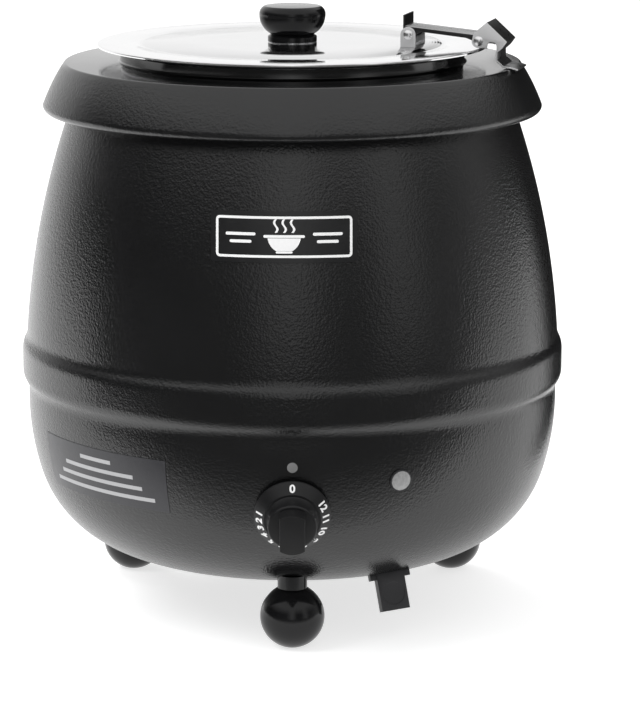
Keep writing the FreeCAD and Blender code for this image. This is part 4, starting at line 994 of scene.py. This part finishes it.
class KETTLE_OT_badge(KettlePiece, bpy.types.Operator):
    """Lay the curved badge on the barrel and print its frame and bowl motif on it"""
    bl_idname = "kettle.badge"
    bl_label = "Badge"

    def model(self):
        low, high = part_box("nameplate")
        centre = Vector(((low.x + high.x) / 2, 0, (low.z + high.z) / 2))
        half = Vector(((high.x - low.x) / 2, 0, (high.z - low.z) / 2))
        plate = self.card("badge_plate", centre, half, 1.5 * MM)
        plate_wall, print_top, print_wall = 0.7 * MM, 0.78 * MM, 0.16 * MM
        self.wrap([plate], centre, plate_wall, plate_wall)
        hand_over(smooth(plate), "housing", "plate_print", "badge", "nameplate")
        inset = 2.7 * MM
        line = self.card("badge_frame", centre, half - Vector((inset, 0, inset)), 2.2 * MM)
        choose(line)
        begin("badge_frame")
        bpy.ops.mesh.inset(thickness=sizes().badge_line, depth=0)
        bpy.ops.mesh.delete(type="FACE")
        close_edit()
        shapes = [line] + self.motif(centre)
        self.wrap(shapes, centre, print_top, print_wall)
        hand_over(joined("badge_print", shapes), "housing", "plate_print", "white")

    def card(self, name, centre, half, bend):
        """A flat rectangle with rounded corners, standing in front of the barrel."""
        clear_selection()
        bpy.ops.mesh.primitive_plane_add(size=2, location=(0, 0, 0))
        piece = begin(name)
        bpy.ops.transform.resize(value=(half.x, half.z, 1), center_override=(0, 0, 0))
        bpy.ops.mesh.bevel(offset=bend, segments=6, affect="VERTICES")
        close_edit()
        return self.stand(piece, centre)

    def stand(self, piece, centre):
        front = -(sizes().bead_radius + 20 * MM)
        place = Matrix.Translation((centre.x, front, centre.z)) @ Matrix.Rotation(pi / 2, 4, "X")
        return set_down(piece, place)

    def motif(self, centre):
        """A bowl on a foot with three wisps of steam, between two pairs of tapering dashes."""
        bowl = self.disc("bowl", 9.2 * MM, centre, 0.0, 0.6 * MM)
        choose(bowl)
        begin("bowl")
        for up, side in ((-0.6 * MM, 1), (-7.4 * MM, -1)):
            bpy.ops.mesh.select_all(action="SELECT")
            bpy.ops.mesh.bisect(plane_co=(0, 0, centre.z + up), plane_no=(0, 0, side),
                                use_fill=False, clear_outer=True)
        close_edit()
        shapes = [bowl, self.bar("rim", centre, (0, 0.4), (11.4, 0.75)),
                  self.bar("foot", centre, (0, -8.1), (4.6, 0.6))]
        for side in (-1, 0, 1):
            shapes.append(self.wisp(centre, side * 4.6 * MM))
        for side in (-1, 1):
            for rise, reach in ((1.6, 8.2), (-2.4, 6.0)):
                shapes.append(self.bar("dash", centre, (side * 24.0, rise), (reach, 0.8)))
        return shapes

    def disc(self, name, radius, centre, across, up):
        clear_selection()
        bpy.ops.mesh.primitive_circle_add(
            vertices=48, radius=radius, fill_type="NGON", location=(0, 0, 0))
        bpy.context.object.name = name
        return self.stand(bpy.context.object, centre + Vector((across, 0, up)))

    def bar(self, name, centre, at, half):
        middle = centre + Vector((at[0] * MM, 0, at[1] * MM))
        return self.card(name, middle, Vector((half[0] * MM, 0, half[1] * MM)), half[1] * 0.95 * MM)

    def wisp(self, centre, across):
        """One S-shaped ribbon of steam."""
        s = sizes()
        front = -(s.bead_radius + 20 * MM)
        foot, rise, sway, wide, steps = 2.4 * MM, 7.2 * MM, 0.9 * MM, 0.62 * MM, 14
        line = []
        for n in range(steps + 1):
            share = n / steps
            bend = sway * sin(2 * pi * share)
            line.append((centre.x + across + bend, front, centre.z + foot + rise * share))
        piece = start_point("wisp", (line[0][0] - wide, line[0][1], line[0][2]))
        extrude_through([(x - wide, y, z) for x, y, z in line])
        bpy.ops.mesh.select_all(action="SELECT")
        bpy.ops.mesh.extrude_edges_move(TRANSFORM_OT_translate={"value": (2 * wide, 0, 0)})
        close_edit()
        return piece

    def wrap(self, pieces, centre, above, thickness):
        """Slice flat shapes, press them onto the barrel's side and give them their thickness."""
        rows, reach = 24, 20 * MM
        heights = [centre.z - reach + 2 * reach * n / rows for n in range(rows + 1)]
        outline = [(upper_side(height) + above, height) for height in heights]
        skin = lathe("barrel_skin", outline, 360)
        for piece in pieces:
            self.slice(piece)
            modify(piece, "SHRINKWRAP", target=skin, wrap_method="PROJECT", use_project_y=True)
            choose(piece)
            begin(piece.name)
            self.face_front(piece)
            close_edit()
            thicken(piece, thickness)
        bpy.data.objects.remove(skin)

    def slice(self, piece):
        """Cut a flat shape into strips fine enough to bend."""
        across, up = 2 * MM, 4 * MM
        corners = [vertex.co.copy() for vertex in piece.data.vertices]
        left, low = min(at.x for at in corners), min(at.z for at in corners)
        wide, high = max(at.x for at in corners) - left, max(at.z for at in corners) - low
        choose(piece)
        begin(piece.name)
        cuts = [((left + n * across, 0, 0), (1, 0, 0)) for n in range(1, int(wide / across) + 1)]
        cuts += [((0, 0, low + n * up), (0, 0, 1)) for n in range(1, int(high / up) + 1)]
        for place, normal in cuts:
            bpy.ops.mesh.select_all(action="SELECT")
            bpy.ops.mesh.bisect(plane_co=place, plane_no=normal, use_fill=False)
        close_edit()

    def face_front(self, piece):
        """Turn the sheet's faces towards the front."""
        bpy.ops.mesh.normals_make_consistent(inside=False)
        mesh = bmesh.from_edit_mesh(piece.data)
        if sum(face.normal.y * face.calc_area() for face in mesh.faces) > 0:
            bpy.ops.mesh.flip_normals()


class KETTLE_OT_label(KettlePiece, bpy.types.Operator):
    """Lay the dark label film on the lower body, with plain bars where its lines would be"""
    bl_idname = "kettle.label"
    bl_label = "Label"

    BEARING = -46.0          # degrees from the dial to the label's middle

    def model(self):
        width, high, middle = 103.0, 31.0, 99.5
        film = self.strip("notice_film", middle, width, high, 0.25, 0.24)
        hand_over(film, "housing", "label_print", "film", "safety_label")
        first, pitch, bar_high = 9.0, 6.1, 2.3
        bars = [self.strip("bar", middle + first - pitch * row, reach, bar_high, 0.32, 0.1)
                for row, reach in enumerate((26, 58, 69, 84))]
        hand_over(joined("notice_bars", bars), "housing", "label_print", "label_print")

    def strip(self, name, middle, width, high, above, thickness):
        """A curved strip: a short arc of the side, spun through part of a turn."""
        centre, level, reach = low_circle()
        pitch = 2.5
        rows = max(int(high / pitch), 2)
        outline = []
        for n in range(rows + 1):
            height = (middle - high / 2 + high * n / rows) * MM
            lift = asin((height - level) / reach)
            out = reach + above * MM
            outline.append((centre + out * cos(lift), level + out * sin(lift)))
        radius = lower_side(middle * MM)
        sweep = width * MM / radius
        start = radians(self.BEARING - 90) + sweep / 2
        points = [(r * cos(start), r * sin(start), z) for r, z in outline]
        piece = start_point(name, points[0])
        extrude_through(points)
        bpy.ops.mesh.select_all(action="SELECT")
        steps = max(int(width / pitch), 4)
        bpy.ops.mesh.spin(steps=steps, angle=sweep, center=(0, 0, 0), axis=(0, 0, 1))
        bpy.ops.mesh.select_all(action="SELECT")
        bpy.ops.mesh.remove_doubles(threshold=0.004 * MM)
        bpy.ops.mesh.normals_make_consistent(inside=False)
        self.face_out(piece)
        close_edit()
        thicken(piece, thickness * MM)
        return smooth(piece)

    def face_out(self, piece):
        """Turn the sheet's faces away from the kettle's axis."""
        mesh = bmesh.from_edit_mesh(piece.data)
        outward = 0
        for face in mesh.faces:
            middle = face.calc_center_median()
            outward += face.normal.dot(Vector((middle.x, middle.y, 0)))
        if outward < 0:
            bpy.ops.mesh.flip_normals()


class KETTLE_OT_hinge(KettlePiece, bpy.types.Operator):
    """Refine the lid hinge's pressings and turn its domed pins"""
    bl_idname = "kettle.hinge"
    bl_label = "Lid hinge"

    def model(self):
        arm = refined("hinge_arm", "arm_channel", 0.22 * MM, "arm", "hinge_steel")
        clip = refined("hinge_clip", "edge_clip", 0.22 * MM, "clip", "hinge_steel")
        refined("lid_bracket", "ear_bracket", 0.22 * MM, "clip", "hinge_steel")
        along = Vector(JOINTS["arm_pivot"]["axis"]).normalized()
        tab = Vector(JOINTS["lid_pivot"]["pos_m"]).z + 6.6 * MM
        # Painted shade: the arm's flanges, tab and every face not facing up take the near-black
        # copy of the steel.
        repaint(arm, "fold", lambda at, way: at.z > tab or way.z < 0.5)
        # Painted shade: the clip faces that do not face along the pin take the darker copy of its
        # steel.
        repaint(clip, "strip", lambda at, way: abs(way.dot(along)) < 0.5)
        for joint, body, name, node in (("lid_pivot", "lid", "lid_pin", "lid_hinge_pin"),
                                        ("arm_pivot", "clip", "clip_pin", "clip_hinge_pin")):
            outer, shank = 12.8 * MM, 1.6 * MM
            head, dome = shank * 1.8, shank * 0.85
            bend = (head ** 2 + dome ** 2) / (2 * dome)
            outline = [(0, -outer - dome)]
            outline += arc_through(outline[-1], (head, -outer), bend, 8)
            outline += [(shank, -outer), (shank, outer), (head, outer)]
            outline += arc_through(outline[-1], (0, outer + dome), bend, 8)
            pin = lathe(name, outline, 32)
            hand_over(set_down(pin, pin_frame(joint)), body, "hinge_steel", "rivet", node)


class KETTLE_OT_gland(KettlePiece, bpy.types.Operator):
    """Refine the cable gland's moulding and its clamp"""
    bl_idname = "kettle.gland"
    bl_label = "Cable gland"

    def model(self):
        refined("gland_body", "gland_moulding", 0.7 * MM, "nylon", "moulded_plastic")
        refined("gland_clamp", "gland_jaw", 0.25 * MM, "nylon", "moulded_plastic")
        refined("gland_screw", "gland_set_screw", 0.2 * MM, "zinc", "fastener_steel")


class KETTLE_OT_finishes(KettlePiece, bpy.types.Operator):
    """Give the design nodes that stay in view or inside their finishes"""
    bl_idname = "kettle.finishes"
    bl_label = "Finishes"

    KEPT = {
        "powder_coat": "coat", "phenolic": "phenolic", "dial_plastic": "dial",
        "lid_steel": "mirror", "pot_steel": "pot", "hinge_steel": "rivet",
        "fastener_steel": "zinc", "sealing_rubber": "rubber", "aluminium": "aluminium",
        "element_sheath": "sheath", "copper": "copper", "moulded_plastic": "nylon",
        "lamp_lens": "lens", "dot_paint": "dot", "plate_print": "badge", "label_print": "film",
    }

    def model(self):
        for part in frame["record"]["subparts"]:
            node = frame["nodes"][part["node"]]
            node.data.materials.clear()
            node.data.materials.append(finish_of(self.KEPT[part["material_slot"]]))


# ---- Stage ----------------------------------------------------------------------------------

class KETTLE_OT_stage(KettlePiece, bpy.types.Operator):
    """Set up the floor, the soft studio light and the camera"""
    bl_idname = "kettle.stage"
    bl_label = "Stage"

    # Brightness of the surroundings by bearing: 0 is in front of the dial, plus is to its right.
    SKY = ((-180, 1.0), (-133, 0.95), (-111, 0.10), (-91, 0.01), (-60, 0.04), (-20, 0.12),
           (0, 0.95), (16, 0.10), (34, 0.12), (48, 0.85), (64, 0.15), (84, 0.30), (103, 0.46),
           (119, 0.14), (138, 0.02), (168, 0.02), (176, 1.0), (180, 1.0))

    def model(self):
        self.floor()
        self.sky()
        self.card("side_card", (0.30, 1.25, 0.30), (0, radians(90), 0), (0.6, 2.3), 0.02)
        self.card("front_card", (0.6, -8.2, 0.002), (0, 0, 0), (22.0, 16.0), 0.12, 0.9)
        self.card("left_card", (-5.5, 0.05, 0.003), (0, 0, radians(-7)), (9.8, 0.9), 0.05)
        self.lamp("key_light", (-1.5, -0.7, 1.9), (0, 0, 0.15), 1.4, 26)
        self.lamp("back_light", (-0.9, 1.8, 1.6), (0, 0, 0.2), 1.2, 22)
        self.camera()
        bpy.context.scene.view_settings.view_transform = "Standard"

    def floor(self):
        clear_selection()
        bpy.ops.mesh.primitive_plane_add(size=40, location=(0, 0, 0))
        floor = bpy.context.object
        floor.name = "studio_floor"
        made, graph = new_finish("floor_paper")
        grain = graph.noise(graph.place(), 30.0, 3.0)
        graph.surface({
            "Base Color": graph.shades(grain, (0.60, 0.60, 0.60), (0.62, 0.62, 0.62)),
            "Roughness": 0.9,
            "Specular IOR Level": 0.0,
            "Emission Color": (1, 1, 1, 1),
            "Emission Strength": 0.70,
        })
        floor.data.materials.append(made)

    def sky(self):
        """Soft light round the kettle, with dim strips in front, behind a plain pale backdrop."""
        world = bpy.data.worlds.new("studio")
        bpy.context.scene.world = world
        world.use_nodes = True
        graph = Graph(world.node_tree)
        way = graph.node("ShaderNodeTexCoord", output="Generated")
        right, back, up = (graph.part(way, axis) for axis in range(3))
        bearing = right.maths("ARCTAN2", right, back * -1.0) * (0.5 / pi) + 0.5
        round_about = graph.ramp(bearing, *((0.5 + side / 360, level) for side, level in self.SKY))
        overhead = graph.ramp(up, (0.30, 0.0), (0.62, 1.0))
        zenith = 0.95
        above = graph.node("ShaderNodeMix", {"data_type": "FLOAT"}, {
            0: overhead, 2: round_about, 3: zenith})
        seen = graph.node("ShaderNodeLightPath")
        level = graph.node("ShaderNodeMix", {"data_type": "FLOAT"}, {0: seen, 2: above, 3: 1.0})
        light = graph.node("ShaderNodeBackground", {}, {"Color": (1, 1, 1, 1), "Strength": level})
        output = world.node_tree.nodes.new("ShaderNodeOutputWorld")
        world.node_tree.links.new(light.socket, output.inputs[0])

    def card(self, name, place, turn, size, level, edge=None):
        """A flat card that only reflections see; its far side may fade to another level."""
        clear_selection()
        bpy.ops.mesh.primitive_plane_add(size=1, location=place, rotation=turn)
        card = bpy.context.object
        card.name = name
        card.scale = (*size, 1)
        made, graph = new_finish(name + "_paper")
        from_edge = (0.5 - graph.part(graph.place(), 1)) * size[1]
        fade = graph.ramp(from_edge, (0.0, 1.0), (0.12, 0.0))
        tone = graph.shades(fade, (level,) * 3, (level if edge is None else edge,) * 3)
        shader = graph.node("ShaderNodeEmission", {}, {"Color": tone, "Strength": 1.0})
        graph.node_output(shader)
        card.data.materials.append(made)
        card.visible_camera = False
        card.visible_diffuse = False
        card.visible_shadow = False

    def lamp(self, name, place, target, size, power):
        data = bpy.data.lights.new(name, "AREA")
        data.shape = "DISK"
        data.size = size
        data.energy = power
        light = bpy.data.objects.new(name, data)
        bpy.context.scene.collection.objects.link(light)
        light.location = place
        aim = Vector(target) - Vector(place)
        light.rotation_euler = aim.to_track_quat("-Z", "Y").to_euler()
        light.visible_camera = False
        light.visible_glossy = False

    def camera(self):
        """Eye level above the lid, a little left of the kettle's axis, looking down at it."""
        reach, height, dip = 1.9352, 0.5488, 0.1959
        data = bpy.data.cameras.new("camera")
        data.sensor_width = 36
        data.lens = 164.97
        data.shift_x = 0.03835
        data.shift_y = -0.04924
        camera = bpy.data.objects.new("camera", data)
        camera.location = (0, -reach, height)
        camera.rotation_euler = (pi / 2 - dip, 0, 0)
        bpy.context.scene.collection.objects.link(camera)
        bpy.context.scene.camera = camera


# ---- Add-on ---------------------------------------------------------------------------------

STEPS = (KETTLE_OT_casing, KETTLE_OT_collar, KETTLE_OT_feet, KETTLE_OT_lid, KETTLE_OT_handle,
         KETTLE_OT_vessels, KETTLE_OT_dial, KETTLE_OT_lamp, KETTLE_OT_badge, KETTLE_OT_label,
         KETTLE_OT_hinge, KETTLE_OT_gland, KETTLE_OT_finishes, KETTLE_OT_stage)


class KETTLE_PT_panel(bpy.types.Panel):
    """Sizes, colours and steps of the soup kettle"""
    bl_idname = "KETTLE_PT_panel"
    bl_label = "Soup Kettle"
    bl_space_type = "VIEW_3D"
    bl_region_type = "UI"
    bl_category = "Kettle"

    def draw(self, context):
        column = self.layout.column(align=True)
        for step in STEPS:
            column.operator(step.bl_idname)
        for group in (context.scene.kettle_sizes, context.scene.kettle_colours):
            column.separator()
            for name in group.bl_rna.properties.keys():
                if name not in ("rna_type", "name"):
                    column.prop(group, name)


CLASSES = (KettleSizes, KettleColours, *STEPS, KETTLE_PT_panel)


def register():
    for item in CLASSES:
        bpy.utils.register_class(item)
    bpy.types.Scene.kettle_sizes = bpy.props.PointerProperty(type=KettleSizes)
    bpy.types.Scene.kettle_colours = bpy.props.PointerProperty(type=KettleColours)


def unregister():
    del bpy.types.Scene.kettle_colours
    del bpy.types.Scene.kettle_sizes
    for item in reversed(CLASSES):
        bpy.utils.unregister_class(item)


def main():
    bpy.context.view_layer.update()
    register()
    for step in STEPS:
        group, name = step.bl_idname.split(".")
        getattr(getattr(bpy.ops, group), name)()


if __name__ == "__main__":
    main()
